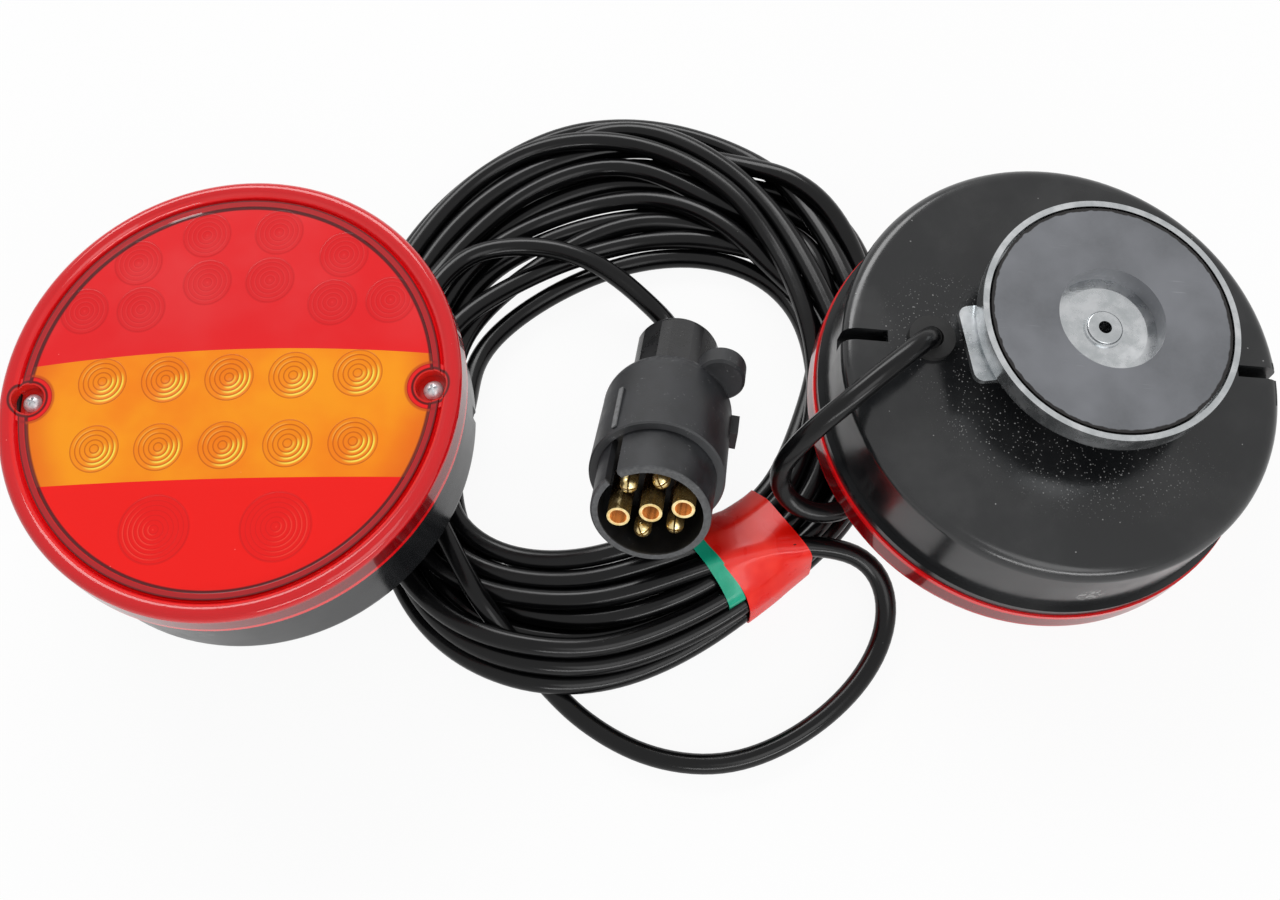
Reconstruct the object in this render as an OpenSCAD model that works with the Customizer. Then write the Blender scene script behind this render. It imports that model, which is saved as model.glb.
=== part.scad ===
// Magnetic trailer light kit: two round rear lamps on magnet feet, joined by a coiled
// cable that ends in a seven-pin trailer plug. Sizes are in millimetres, +Z is up.
// The kit lies on a flat surface at z = 0, and the origin is the middle of the
// rectangle that the two lamps cover. The left lamp stands on its magnet with the
// lens up. The right lamp lies on its lens with the magnet up.

/* [Lamp housing] */
// Outer radius of the housing wall
housing_r = 67.5; // [64:0.5:75]
// Wall of the moulded housing
wall_t = 2.5; // [2:0.1:3]
// Depth of a lamp, from its rear plate to the rim of its lens
body_h = 40.5; // [38:0.5:50]
// Rounding between the rear plate and the wall
plate_fillet = 4.5; // [3:0.5:6]
// Height of the bead where the lens ends
bead_h = 3.2; // [2:0.2:5]
// How far the bead stands out from the wall
bead_out = 1.9; // [1:0.1:3]
// Width of the two slots outside the wall
slot_w = 3.8; // [3:0.2:5]
// How far the slots reach in from the wall
slot_reach = 13.5; // [8:0.5:15]
// Depth of the slots
slot_h = 9; // [6:0.5:12]

/* [Lens] */
// Thickness of the lens face
lens_t = 2.5; // [2:0.1:3.5]
// Radius of the rounded rim round the lens face
rim_bead_r = 2.8; // [2:0.1:3.5]
// How far the lens face lies below the rim
face_drop = 2; // [1:0.1:3]
// Radius of the flat lens face
face_r = 61.4; // [58:0.1:61.4]
// Wall of the lens skirt
skirt_t = 2.2; // [1.6:0.1:2.6]
// Height of the lens skirt from its edge to the rim
skirt_h = 11; // [10:0.2:12]
// Radius of the amber band's upper edge, which bows upwards
band_top_r = 514; // [400:1:700]
// Radius of the amber band's lower edge
band_bottom_r = 1400; // [900:10:2000]
// Height of the amber band's upper edge over the lamp's centre
band_top_y = 14; // [12.5:0.1:15]
// Depth of the amber band's lower edge under the lamp's centre
band_bottom_y = 26.9; // [25:0.1:28]
// Distance of the lens screws' axes in from the inside of the housing wall
lens_screw_in = 4; // [3.6:0.1:5]
// Radius of the moulded well round a lens screw
well_r = 4.75; // [4.2:0.05:5]
// Depth of that well below the lens face
well_h = 3.5; // [3:0.1:4]

/* [Ring optics] */
// Radius of an optic behind the small lights
optic_r = 7.3; // [6:0.1:7.3]
// Radius of the two lower brake light optics
brake_optic_r = 10.4; // [8:0.1:10.5]
// Width of one ring of an optic
optic_pitch = 1.5; // [1.4:0.1:2]
// Depth of the rings
optic_h = 0.8; // [0.5:0.1:1.2]

/* [Lights inside] */
// Radius of the circuit board
board_r = 60; // [56:0.5:61]
// Thickness of the circuit board
board_t = 1.6; // [1.2:0.2:2]
// Height of the pillars under the board
pillar_h = 17.5; // [15:0.5:19]
// Radius of one light
led_r = 2.5; // [2:0.1:3]
// Height of one light
led_h = 8; // [6:0.5:9]

/* [Magnet foot] */
// Outer radius of the magnet's steel cup
cup_r = 38.5; // [36:0.5:38.5]
// Height of the cup
cup_h = 8.5; // [8:0.1:10]
// Wall of the cup
cup_wall = 1.8; // [1.2:0.1:2.5]
// Gap between the cup and the ferrite ring
magnet_gap = 0.7; // [0.3:0.1:1.2]
// Thickness of the cup's base
cup_base = 1.7; // [1.2:0.1:2.2]
// Radius of the hole in the ferrite ring
magnet_hole_r = 16; // [14:0.5:18]
// Thickness of the steel strip that carries the cup
strip_t = 2; // [1.5:0.1:3]
// Width of the steel strip
strip_w = 24; // [20:0.5:28]
// Reach of the strip from the magnet's centre towards the grommet
strip_tab = 42; // [40:0.5:42.5]
// Reach of the strip from the magnet's centre the other way
strip_tail = 32; // [28:0.5:36]
// Height of the housing bosses that the strip is screwed to
boss_h = 11.5; // [10:0.5:14]
// Radius of the rivet's bore
rivet_bore_r = 2; // [1.5:0.1:2.5]

/* [Cable] */
// Diameter of the round seven-core cable
cable_d = 6.4; // [5.5:0.1:6.6]
// Thickness of the grommets' flanges
grommet_flange = 2; // [1.5:0.1:3]
// Radius of the grommets' flanges
grommet_r = 7; // [6:0.1:8]

/* [Plug] */
// Outer radius of the keyed skirt round the contacts
plug_r = 17.75; // [17.5:0.05:18.5]
// Wall of that skirt
plug_skirt_t = 2.25; // [1.8:0.05:2.6]
// Length of the skirt that stands out of the shell
plug_nose = 17.5; // [16:0.5:20]
// Outer radius of the plug's shell
shell_r = 20.5; // [20:0.1:22]
// Length of the plug's shell
shell_h = 39.5; // [36:0.5:44]
// Length of the clamping nut behind the shell
nut_h = 26; // [22:0.5:28]
// Radius of the circle that the outer contacts stand on
contact_circle_r = 9.8; // [9.4:0.05:10]
// Outer radius of the tube contacts
tube_r = 3.4; // [3:0.05:3.5]
// Radius of the bore in the tube contacts
tube_bore_r = 2.5; // [2.2:0.05:2.7]
// Radius of the split pins
pin_r = 2.6; // [2.3:0.05:2.7]
// Width of the keyway in the skirt
keyway_w = 4.5; // [4:0.1:5]

/* [How the pieces lie] */
// Left lamp's place on the surface
left_at = [-117.55, 6.8];
// Left lamp's tilt, right side up, where the coil lifts its strip
left_tilt = 4; // [3:0.5:5]
// Turn of the left lamp about its own axis
left_spin = -6.3; // [-8:0.1:-4]
// Right lamp's place on the surface
right_at = [118.75, -6.8];
// Right lamp's tilt, left side up, where it lies on the coil
right_tilt = 10; // [9.5:0.1:11]
// Turn of the right lamp about its own axis
right_spin = -7; // [-9:0.1:-5]
// Middle of the plug's open end
plug_at = [-1.85, -41.3, 53.2];
// Rise of the plug's open end over the flat
plug_rise = 30; // [28:0.5:32]
// Turn of the plug on the surface
plug_turn = -11.8; // [-14:0.1:-10]

/* [Hidden] */
$fn = 96;
// Segments of the two wide circles that edge the amber band
band_fn = 1440;

// Clearance between moulded pieces, and between a shank and its hole
seat = 0.3;
slip = 0.05;
// Overshoot of a cut past the face it opens
over = 1;

// Levels of a lamp, up from the magnet's face
strip_z = cup_h;
plate_z = cup_h + strip_t + boss_h;
floor_z = plate_z + wall_t;
rim_z = plate_z + body_h;
face_z = rim_z - face_drop;
lens_z = face_z - lens_t;
skirt_z = rim_z - skirt_h;
bead_z = skirt_z - seat - bead_h;
gasket_t = 1.5;
spigot_z = lens_z - gasket_t;
board_z = floor_z + pillar_h;

// The lens skirt goes over the spigot, and its rim over the gasket
spigot_r = housing_r - wall_t;
skirt_in_r = housing_r + seat;
skirt_r = skirt_in_r + skirt_t;
rim_bead_at = skirt_r - rim_bead_r;
inner_fillet = 2;

// Bosses for the lens screws, and the slots beside them
lens_screw_x = spigot_r - lens_screw_in;
lens_boss_r = 7.25;
lens_boss_h = 3.5;
screw_block_in = spigot_r - 15;
screw_block_w = 14;
screw_block_shift = 1;
slot_y = [4, 2];
lens_thread_h = 13;

// Light positions behind the lens, seen from the front
amber_step = 19.4;
amber_rows = [5, -16.5];
red_upper = [[11.3, 52.5], [32, 44], [9.7, 36.5], [47.2, 28.4], [29.5, 28.3]];
red_lower = [18, -42];
amber_lights = [for (y = amber_rows, i = [-2:2]) [i * amber_step, y]];
red_lights = [for (s = [-1, 1], p = red_upper) [s * p.x, p.y]];
brake_lights = [for (s = [-1, 1]) [s * red_lower.x, red_lower.y]];
// How far an optic's root goes up into the lens face
optic_root = 0.3;

// Board pillars stand on a circle between the lights
pillar_r = 3.5;
pillar_circle = 53;
pillar_angles = [42.5, 137.5, 231, 309];
board_screw_r = 1.45;
board_notch_in = screw_block_in - seat;

// Magnet foot, off the lamp's centre and turned a little
magnet_at = [-6.7, 4.55];
strip_turn = -11;
strip_corner = 3;
cup_round = 2;
magnet_h = cup_h - cup_base;
magnet_r = cup_r - cup_wall - magnet_gap;
dish_h = 0.6;
dish_r = 13;
bracket_screw_at = [24, -21];
bracket_screw_r = 2;
boss_r = 4.8;
rivet_head_r = 6;
rivet_head_h = 1.3;
rivet_shank_r = 3.5;
rivet_tail_r = 5;
rivet_tail_h = 1;

// Cable entries, as polar places on the rear plate
entry_at = [41, 4];
plug_entry_at = [30.9, 26.9];
entry_r = 4.6;
cable_r = cable_d / 2;

// Plug depths, back from the open end
plug_floor = 20;
insert_h = 34;
contact_h = 38;
tube_from = 0.8;
pin_from = 2;
insert_body_r = plug_r + 0.2;
insert_step = 0.1;
insert_seat_r = insert_body_r + slip;
shell_wall = 2.5;
shell_neck_r = 14.5;
rib_turn = 129;
rib_w = 1.6;
rib_out = 0.7;
rib_h = 19;
rib_nose = 1.5;
small_lug_turn = -6;
small_lug_w = 6;
small_lug_out = 1.8;
small_lug_h = 9;
small_lug_nose = 23;
sunk = 1.5;
thumb_turn = 40;
thumb_r = 7.6;
thumb_h = 7;
thumb_edge = 0.8;
shell_round = 8;
shell_end = plug_nose + shell_h;
nut_r = 13.75;
nut_end_r = 13.5;
nut_end = shell_end + 0.5 + nut_h;
nut_stem_r = 10.5;
nut_stem_h = 8;
nut_round = 3;
nut_flats = 8;
nut_flat_r = nut_end_r - 0.45;
nut_collar_h = 4.5;
seal_r = 7;
seal_h = 12;
contact_turn = 15;
tube_angles = [0, 180];
pin_angles = [60, 120, 240, 300];
keyway_angle = 132;

// Route of the lead from the plug over the coil, x, y and z
plug_lead_route = [[12.5, 27.4, 12.7], [13.5, 32.4, 9.8], [13.6, 37.2, 7], [10.4, 43, 5.6],
  [4.8, 48.6, 7.9], [-2.4, 55.9, 12.2], [-11.3, 62.6, 15], [-22.6, 68.2, 15.8], [-34.2, 70.8, 16],
  [-46.1, 70.7, 16.4], [-54.3, 68.8, 16.8], [-60.4, 65.6, 17], [-65, 62, 17]];
// Lead of the plug from inside the left lamp through its second grommet to the coil
left_plug_route = [[-86.7, 30.1, 44.4], [-85.4, 30.1, 25.9], [-85, 31, 22.6], [-83.4, 34.8, 19.6],
  [-79.6, 40.6, 18.2], [-75, 47, 17.6]];
// Link between the lamps, from inside the left lamp through its grommet and over the coil
left_link_route = [[-79.2, 6.3, 45.2], [-77.9, 6.3, 26.4], [-77.5, 5.4, 23], [-76.4, 2.4, 20.6],
  [-74.4, -5, 20.2], [-68.4, -21.8, 21.4], [-64.8, -31, 21.6], [-60.6, -41.6, 21.4], [-55.9, -52, 21.2],
  [-52.4, -58, 21.2]];
// Loose loop of the link on the surface in front of the coil
loop_route = [[-33.6, -83, 3.3], [-30.4, -86, 3.3], [-21.9, -93.6, 3.3], [-10.3, -100.7, 3.3],
  [2.9, -104.8, 3.3], [13.6, -105.7, 3.3], [26.1, -103.2, 3.3], [39.1, -97.7, 3.3], [51.1, -89.7, 3.3],
  [60.8, -79.9, 3.3], [66.8, -69.5, 3.6], [68.8, -61.6, 5.5], [68, -54.6, 9], [63.8, -48.9, 13],
  [59.6, -46.6, 15.6]];
// Link from inside the right lamp through its grommet to the coil
right_lead_route = [[83.1, 2.2, 41], [86.5, 2.2, 60], [87.2, 1.6, 65.4], [84.4, -1.4, 69.8],
  [78, -6.4, 71.4], [70.9, -10.9, 71.6], [64, -15.5, 71], [57.1, -19.9, 69], [49.5, -22.6, 63.5],
  [43.7, -25.2, 56], [39.2, -26.5, 47], [37, -27.7, 40], [36.9, -29.5, 34], [38.5, -31.9, 30],
  [42, -35.4, 28.2], [46.7, -38.2, 27], [51, -39.8, 25.2], [54.4, -40.8, 22.9]];

// Middle line of the coil: x, y, half width, underside, height outside and height inside
coil_route = [[68.2, 22.6, 15, 0, 17.4, 21.2], [56.2, 69.6, 20, 0, 13, 13], [5.2, 91.6, 27, 0, 11, 11],
  [-53, 67.6, 23, 0, 13, 13], [-71, 5.6, 13, 0, 16.4, 16.8], [-60.9, -49.4, 18, 0, 14.6, 17.6],
  [-18, -60.2, 19, 0, 20, 22],
  [-3, -55, 20.6, 0.5, 21, 31.6], [10, -52.4, 17.6, 0.9, 23, 28.4], [31, -45.4, 14.5, 1.4, 24, 24.5],
  [55.2, -26.4, 15, 0, 16, 21.6]];
coil_steps = 4;
coil_section = [[-0.75, 0], [0.75, 0], [0.97, 0.2], [1, 0.5], [0.9, 0.8], [0.55, 1],
  [-0.55, 1], [-0.9, 0.8], [-1, 0.5], [-0.97, 0.2]];
tube_sides = 10;
tube_steps = 1;
// Stretches of the coil under the tapes, counted along its rings
red_tape_rings = [33.6, 37];
green_tape_rings = [32.7, 33.5];
tape_fit = 0.4;
tape_t = 0.6;

// Functions for routes and swept solids

function unit(v) = v / norm(v);
function across(v, t) = unit(v - (v * t) * t);
function spline(a, b, c, d, t) =
  b + 0.5 * t * ((c - a) + t * ((2 * a - 5 * b + 4 * c - d) + t * (3 * (b - c) + d - a)));
function smooth_open(p, n) = [
  for (i = [0:len(p) - 2], k = [0:n - 1])
    spline(p[max(i - 1, 0)], p[i], p[i + 1], p[min(i + 2, len(p) - 1)], k / n),
  p[len(p) - 1]];
function smooth_at(p, s) =
  let (c = len(p), i = floor(s))
  spline(p[(i + c - 1) % c], p[i % c], p[(i + 1) % c], p[(i + 2) % c], s - i);
function headings(p) = [
  for (i = [0:len(p) - 1]) unit(p[min(i + 1, len(p) - 1)] - p[max(i - 1, 0)])];
function sides_of(t) = [
  for (i = 0, s = across(abs(t[0].z) > 0.9 ? [1, 0, 0] : [0, 0, 1], t[0]);
       i < len(t);
       i = i + 1, s = i < len(t) ? across(s, t[i]) : s) s];
function ring(c, t, s, r) = [
  for (k = [0:tube_sides - 1])
    let (a = 360 * k / tube_sides) c + r * (cos(a) * s + sin(a) * cross(t, s))];
// Two triangles between points j and j + 1 of rings a and b, which have n points each
function patch(a, b, j, n) =
  let (k = (j + 1) % n) [[a * n + j, b * n + j, b * n + k], [a * n + j, b * n + k, a * n + k]];
// Side faces of an open row of rings, and its two end faces
function skin(rings, n) = [for (i = [0:rings - 2], j = [0:n - 1]) each patch(i, i + 1, j, n)];
function caps(rings, n) = [
  [for (j = [0:n - 1]) j],
  [for (j = [n - 1:-1:0]) (rings - 1) * n + j]];

// Cross-section of the coil at place s along its route, grown by m
function coil_ring(s, m = 0) =
  let (
    q = smooth_at(coil_route, s),
    base = max(q[3], 0),
    h = smooth_at(coil_route, s + 0.02) - smooth_at(coil_route, s + len(coil_route) - 0.02),
    t = unit([h.x, h.y, 0]),
    u = [-t.y, t.x, 0])
  [for (p = coil_section)
    let (top = p.x < 0 ? q[4] : q[5], mid = (q[4] + q[5]) / 2,
         h2 = abs(p.x) < 0.6 || p.y < 0.1 ? top : (top + mid) / 2)
    [q.x, q.y, base] + (p.x * q[2] + sign(p.x) * m) * u
      + [0, 0, p.y * (h2 - base) + (p.y > 0.9 ? m : p.y < 0.1 ? -m : 0)]];

module tube(route, steps = tube_steps) {
  p = smooth_open(route, steps);
  t = headings(p);
  s = sides_of(t);
  polyhedron(
    points = [for (i = [0:len(p) - 1]) each ring(p[i], t[i], s[i], cable_r)],
    faces = concat(skin(len(p), tube_sides), caps(len(p), tube_sides)));
}

module coil_stretch(from, to, m, count) {
  n = len(coil_section);
  polyhedron(
    points = [for (i = [0:count]) each coil_ring(from + (to - from) * i / count, m)],
    faces = concat(skin(count + 1, n), caps(count + 1, n)));
}

// Where the three rigid pieces lie

module at_left() {
  lift = (cup_r - magnet_at.x * cos(left_spin)) * sin(left_tilt);
  translate([left_at.x, left_at.y, lift])
    rotate([0, -left_tilt, 0])
      rotate([0, 0, left_spin])
        children();
}

module at_right() {
  lift = rim_bead_at * sin(right_tilt) + rim_bead_r * (1 - cos(right_tilt));
  translate([right_at.x, right_at.y, lift])
    rotate([0, right_tilt, 0])
      rotate([0, 0, right_spin])
        translate([0, 0, rim_z])
          rotate([0, 180, 0])
            children();
}

// The plug's open end faces up its own +Z
module at_plug() {
  translate(plug_at)
    rotate([90 - plug_rise, 0, plug_turn])
      children();
}

module at_magnet() {
  translate([magnet_at.x, magnet_at.y, 0])
    rotate([0, 0, strip_turn])
      children();
}

// Rear housing

// Half outline of a pot with a rounded lower edge
module pot_outline(r, z0, z1, fillet) {
  translate([0, z0]) square([r - fillet, z1 - z0]);
  translate([0, z0 + fillet]) square([r, z1 - z0 - fillet]);
  translate([r - fillet, z0 + fillet]) circle(fillet);
}

module housing_outline() {
  difference() {
    union() {
      pot_outline(housing_r, plate_z, spigot_z, plate_fillet);
      translate([housing_r - wall_t / 2, bead_z]) square([bead_out + wall_t / 2, bead_h]);
    }
    pot_outline(spigot_r, floor_z, spigot_z + over, inner_fillet);
  }
}

module rear_housing(entries) {
  color([0.06, 0.06, 0.065])
  difference() {
    union() {
      rotate_extrude() intersection() {
        housing_outline();
        translate([0, plate_z - over]) square([2 * housing_r, 2 * body_h]);
      }
      for (a = pillar_angles)
        rotate([0, 0, a]) translate([pillar_circle, 0, plate_z + 1])
          cylinder(r = pillar_r, h = board_z - plate_z - 1);
      intersection() {
        for (s = [-1, 1])
          translate([s * (screw_block_in + housing_r) / 2, s * screw_block_shift,
                     (plate_z + 1 + spigot_z - 2) / 2])
            cube([housing_r - screw_block_in, screw_block_w, spigot_z - plate_z - 3], center = true);
        cylinder(r = spigot_r + wall_t / 2, h = rim_z);
      }
      at_magnet() for (x = bracket_screw_at)
        translate([x, 0, strip_z + strip_t]) cylinder(r = boss_r, h = boss_h + wall_t / 2);
    }
    for (i = [0, 1])
      translate([i == 0 ? housing_r - slot_reach : -housing_r - over,
                 slot_y[i] - slot_w / 2, plate_z - over])
        cube([slot_reach + over, slot_w, slot_h + over]);
    for (p = entries) translate([p.x, p.y, plate_z - over]) cylinder(r = entry_r, h = wall_t + 2 * over);
    for (s = [-1, 1])
      translate([s * lens_screw_x, 0, spigot_z - lens_thread_h]) cylinder(r = 1.5, h = lens_thread_h);
    for (a = pillar_angles)
      rotate([0, 0, a]) translate([pillar_circle, 0, board_z - 10])
        cylinder(r = board_screw_r + slip, h = 10 + over);
    at_magnet() for (x = bracket_screw_at)
      translate([x, 0, strip_z]) cylinder(r = bracket_screw_r + slip, h = boss_h + strip_t + wall_t + over);
  }
}

// Lens

// Half outline of the whole lens: skirt, rounded rim, groove, step ring and face
module lens_outline() {
  translate([skirt_in_r, skirt_z]) square([skirt_t, rim_z - rim_bead_r - skirt_z]);
  polygon([[0, lens_z], [skirt_r, lens_z], [skirt_r, rim_z - rim_bead_r],
    [rim_bead_at - rim_bead_r, rim_z - rim_bead_r], [rim_bead_at - rim_bead_r - 0.5, face_z - 0.3],
    [face_r + 2.2, face_z + 0.5], [face_r + 0.4, face_z + 0.5], [face_r, face_z], [0, face_z]]);
  intersection() {
    translate([rim_bead_at, rim_z - rim_bead_r]) circle(rim_bead_r);
    translate([0, rim_z - rim_bead_r - 0.01]) square([2 * housing_r, body_h]);
  }
}

// Amber band between its two bowed edges, clear of the screw wells
module amber_outline() {
  difference() {
    intersection() {
      circle(face_r);
      translate([0, band_top_y - band_top_r]) circle(band_top_r, $fn = band_fn);
    }
    translate([0, -band_bottom_y - band_bottom_r]) circle(band_bottom_r, $fn = band_fn);
    for (s = [-1, 1]) translate([s * lens_screw_x, 0]) circle(lens_boss_r);
  }
}

// Saw-toothed rings under the lens face, one tooth a ring, round a flat centre
module optic(r) {
  n = floor(r / optic_pitch);
  centre = r - n * optic_pitch;
  rotate_extrude()
    polygon(concat([[0, optic_root], [r, optic_root]],
      [for (i = [n:-1:1]) each [[centre + i * optic_pitch, -optic_h], [centre + (i - 1) * optic_pitch, 0]]],
      [[max(centre, 0.1), -optic_h / 2], [0, -optic_h / 2]]));
}

module optics(places, r) {
  for (p = places) translate([p.x, p.y, lens_z]) optic(r);
}

module lens_red() {
  color([0.75, 0.05, 0.06])
  difference() {
    union() {
      difference() {
        rotate_extrude() lens_outline();
        translate([0, 0, lens_z - over]) linear_extrude(lens_t + 2 * over) amber_outline();
      }
      optics(red_lights, optic_r);
      optics(brake_lights, brake_optic_r);
      intersection() {
        for (s = [-1, 1]) translate([s * lens_screw_x, 0, lens_z - lens_boss_h])
          cylinder(r = lens_boss_r, h = lens_boss_h + lens_t);
        cylinder(r = spigot_r - seat, h = rim_z);
      }
    }
    for (s = [-1, 1]) translate([s * lens_screw_x, 0, 0]) {
      translate([0, 0, face_z - well_h]) cylinder(r = well_r, h = well_h + face_drop + over);
      cylinder(r = 1.7, h = rim_z);
    }
  }
}

module lens_amber() {
  color([0.96, 0.5, 0.05]) union() {
    translate([0, 0, lens_z]) linear_extrude(lens_t) amber_outline();
    optics(amber_lights, optic_r);
  }
}

module lens_gasket() {
  color([0.1, 0.1, 0.1])
  translate([0, 0, spigot_z]) difference() {
    cylinder(r = housing_r - seat, h = gasket_t);
    translate([0, 0, -over]) cylinder(r = spigot_r, h = gasket_t + 2 * over);
  }
}

// Pan-head screw, head down from z = 0 and shank up, with a cross recess
module pan_screw(head_r, head_h, shank_r, shank_h) {
  difference() {
    union() {
      intersection() {
        translate([0, 0, -head_h]) cylinder(r = head_r, h = head_h);
        translate([0, 0, head_r * 1.2 - head_h]) sphere(head_r * 1.2);
      }
      translate([0, 0, -0.1]) cylinder(r = shank_r, h = shank_h + 0.1);
    }
    for (a = [0, 90]) rotate([0, 0, a])
      translate([0, 0, -head_h]) cube([head_r, head_r * 0.25, head_h], center = true);
  }
}

module lens_screws() {
  color([0.75, 0.75, 0.76])
  for (s = [-1, 1]) translate([s * lens_screw_x, 0, face_z - well_h])
    rotate([180, 0, 20 * s]) pan_screw(2.9, 2, 1.45, lens_thread_h - 2);
}

// Lights inside

module led_board() {
  color([0.08, 0.3, 0.14])
  difference() {
    translate([0, 0, board_z]) cylinder(r = board_r, h = board_t);
    for (s = [-1, 1])
      translate([s * (board_notch_in + housing_r) / 2, s * screw_block_shift, board_z])
        cube([housing_r - board_notch_in, screw_block_w + 2 * seat, 3 * board_t], center = true);
    for (a = pillar_angles) rotate([0, 0, a])
      translate([pillar_circle, 0, 0]) cylinder(r = board_screw_r + slip, h = rim_z);
  }
}

module led() {
  cylinder(r = led_r, h = led_h - led_r);
  intersection() {
    translate([0, 0, led_h - led_r]) sphere(led_r);
    cylinder(r = 2 * led_r, h = led_h);
  }
}

module leds(places) {
  for (p = places) translate([p.x, p.y, board_z + board_t]) led();
}

module leds_red() color([0.8, 0.2, 0.2]) leds(concat(red_lights, brake_lights));

module leds_amber() color([0.95, 0.7, 0.3]) leds(amber_lights);

module board_screws() {
  color([0.7, 0.7, 0.7])
  for (a = pillar_angles) rotate([0, 0, a])
    translate([pillar_circle, 0, board_z + board_t]) rotate([180, 0, 0])
      pan_screw(2.7, 1.8, board_screw_r, 8);
}

// Cable entries

// Turned rubber grommet that grips the rear plate between its two flanges
module grommet(p) {
  color([0.05, 0.05, 0.05])
  translate([p.x, p.y, plate_z]) rotate_extrude() difference() {
    union() {
      translate([0, -grommet_flange]) square([grommet_r, grommet_flange]);
      square([entry_r - slip, wall_t + 1]);
      translate([0, wall_t]) square([grommet_r - 1, 1.5]);
    }
    translate([0, -body_h / 2]) square([cable_r + 4 * slip, body_h]);
  }
}

// Magnet foot

module strip_outline() {
  w = strip_w / 2 - strip_corner;
  for (x = [-strip_tail + strip_corner, strip_tab - strip_corner], y = [-w, w])
    translate([x, y]) circle(strip_corner);
  translate([-strip_tail + strip_corner, -strip_w / 2])
    square([strip_tab + strip_tail - 2 * strip_corner, strip_w]);
  translate([-strip_tail, -w]) square([strip_tab + strip_tail, 2 * w]);
}

module magnet_bracket() {
  color([0.7, 0.71, 0.72])
  at_magnet() difference() {
    translate([0, 0, strip_z]) linear_extrude(strip_t) strip_outline();
    for (x = bracket_screw_at)
      translate([x, 0, strip_z - over]) cylinder(r = bracket_screw_r + slip, h = strip_t + 2 * over);
    translate([0, 0, strip_z - over]) cylinder(r = rivet_shank_r + slip, h = strip_t + 2 * over);
  }
}

// Screws from inside the housing into the strip's threads
module bracket_screws() {
  color([0.7, 0.7, 0.7])
  at_magnet() for (x = bracket_screw_at)
    translate([x, 0, floor_z]) mirror([0, 0, 1])
      pan_screw(3.8, 2.4, bracket_screw_r, floor_z - strip_z - 0.2);
}

module magnet_cup() {
  color([0.72, 0.73, 0.74])
  at_magnet() rotate_extrude() difference() {
    union() {
      square([cup_r, cup_h - cup_round]);
      square([cup_r - cup_round, cup_h]);
      translate([cup_r - cup_round, cup_h - cup_round]) circle(cup_round);
    }
    translate([0, -over]) square([cup_r - cup_wall, magnet_h + over]);
    polygon([[0, magnet_h - over], [dish_r, magnet_h - over], [dish_r, magnet_h],
      [dish_r - 4, magnet_h + dish_h], [0, magnet_h + dish_h]]);
    square([rivet_shank_r + slip, cup_h + over]);
  }
}

module magnet_ring() {
  color([0.35, 0.35, 0.37])
  at_magnet() difference() {
    cylinder(r = magnet_r, h = magnet_h);
    translate([0, 0, -over]) cylinder(r = magnet_hole_r, h = magnet_h + 2 * over);
  }
}

// Hollow rivet with a rolled head in the dish and a tail behind the strip
module magnet_rivet() {
  head_z = magnet_h + dish_h;
  tail_z = strip_z + strip_t;
  color([0.8, 0.8, 0.8])
  at_magnet() rotate_extrude() difference() {
    union() {
      translate([0, head_z - rivet_head_h / 2]) square([rivet_head_r, rivet_head_h / 2]);
      translate([0, head_z - rivet_head_h]) square([rivet_head_r - 1.2, rivet_head_h]);
      translate([rivet_head_r - 1.2, head_z - rivet_head_h / 2]) circle(rivet_head_h / 2);
      translate([0, head_z]) square([rivet_shank_r, tail_z - head_z]);
      translate([0, tail_z]) square([rivet_tail_r, rivet_tail_h]);
    }
    square([rivet_bore_r, tail_z + rivet_tail_h + over]);
  }
}

// Plug, drawn back from its open end along -Z

module ring_of(angles, r) {
  for (a = angles) rotate([0, 0, a + contact_turn]) translate([r, 0, 0]) children();
}

module plug_insert() {
  color([0.07, 0.07, 0.075])
  difference() {
    union() {
      rotate_extrude() difference() {
        union() {
          translate([0, -insert_h]) square([plug_r, insert_h]);
          translate([0, -insert_h]) square([insert_body_r, insert_h - plug_nose - insert_step]);
        }
        translate([0, -plug_floor]) square([plug_r - plug_skirt_t, plug_floor + over]);
        polygon([[plug_r + over, over], [plug_r - 0.6, over], [plug_r - 0.6, 0], [plug_r, -0.6],
          [plug_r + over, -0.6]]);
      }
    }
    rotate([0, 0, keyway_angle]) translate([plug_r - plug_skirt_t - over, -keyway_w / 2, -plug_floor])
      cube([plug_skirt_t + 2 * over, keyway_w, plug_floor + over]);
    translate([0, 0, -insert_h - over]) {
      ring_of(pin_angles, contact_circle_r) cylinder(r = pin_r + slip, h = insert_h);
      ring_of(tube_angles, contact_circle_r) cylinder(r = tube_r + slip, h = insert_h);
      cylinder(r = tube_r + slip, h = insert_h);
    }
  }
}

// Split pin with a round tip and two crossed saw cuts
module split_pin() {
  difference() {
    union() {
      translate([0, 0, -contact_h]) cylinder(r = pin_r, h = contact_h - pin_from - pin_r);
      translate([0, 0, -pin_from - pin_r]) sphere(pin_r);
    }
    for (a = [45, 135]) rotate([0, 0, a])
      translate([-pin_r - over, -0.25, -plug_floor + 4]) cube([2 * pin_r + 2 * over, 0.5, plug_floor]);
  }
}

module plug_pins() {
  color([0.8, 0.65, 0.3]) ring_of(pin_angles, contact_circle_r) split_pin();
}

module tube_contact() {
  difference() {
    translate([0, 0, -contact_h]) cylinder(r = tube_r, h = contact_h - tube_from);
    translate([0, 0, -plug_floor - 4]) cylinder(r = tube_bore_r, h = plug_floor + 4);
  }
}

module plug_tubes() {
  color([0.85, 0.6, 0.25]) {
    ring_of(tube_angles, contact_circle_r) tube_contact();
    tube_contact();
  }
}

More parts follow.
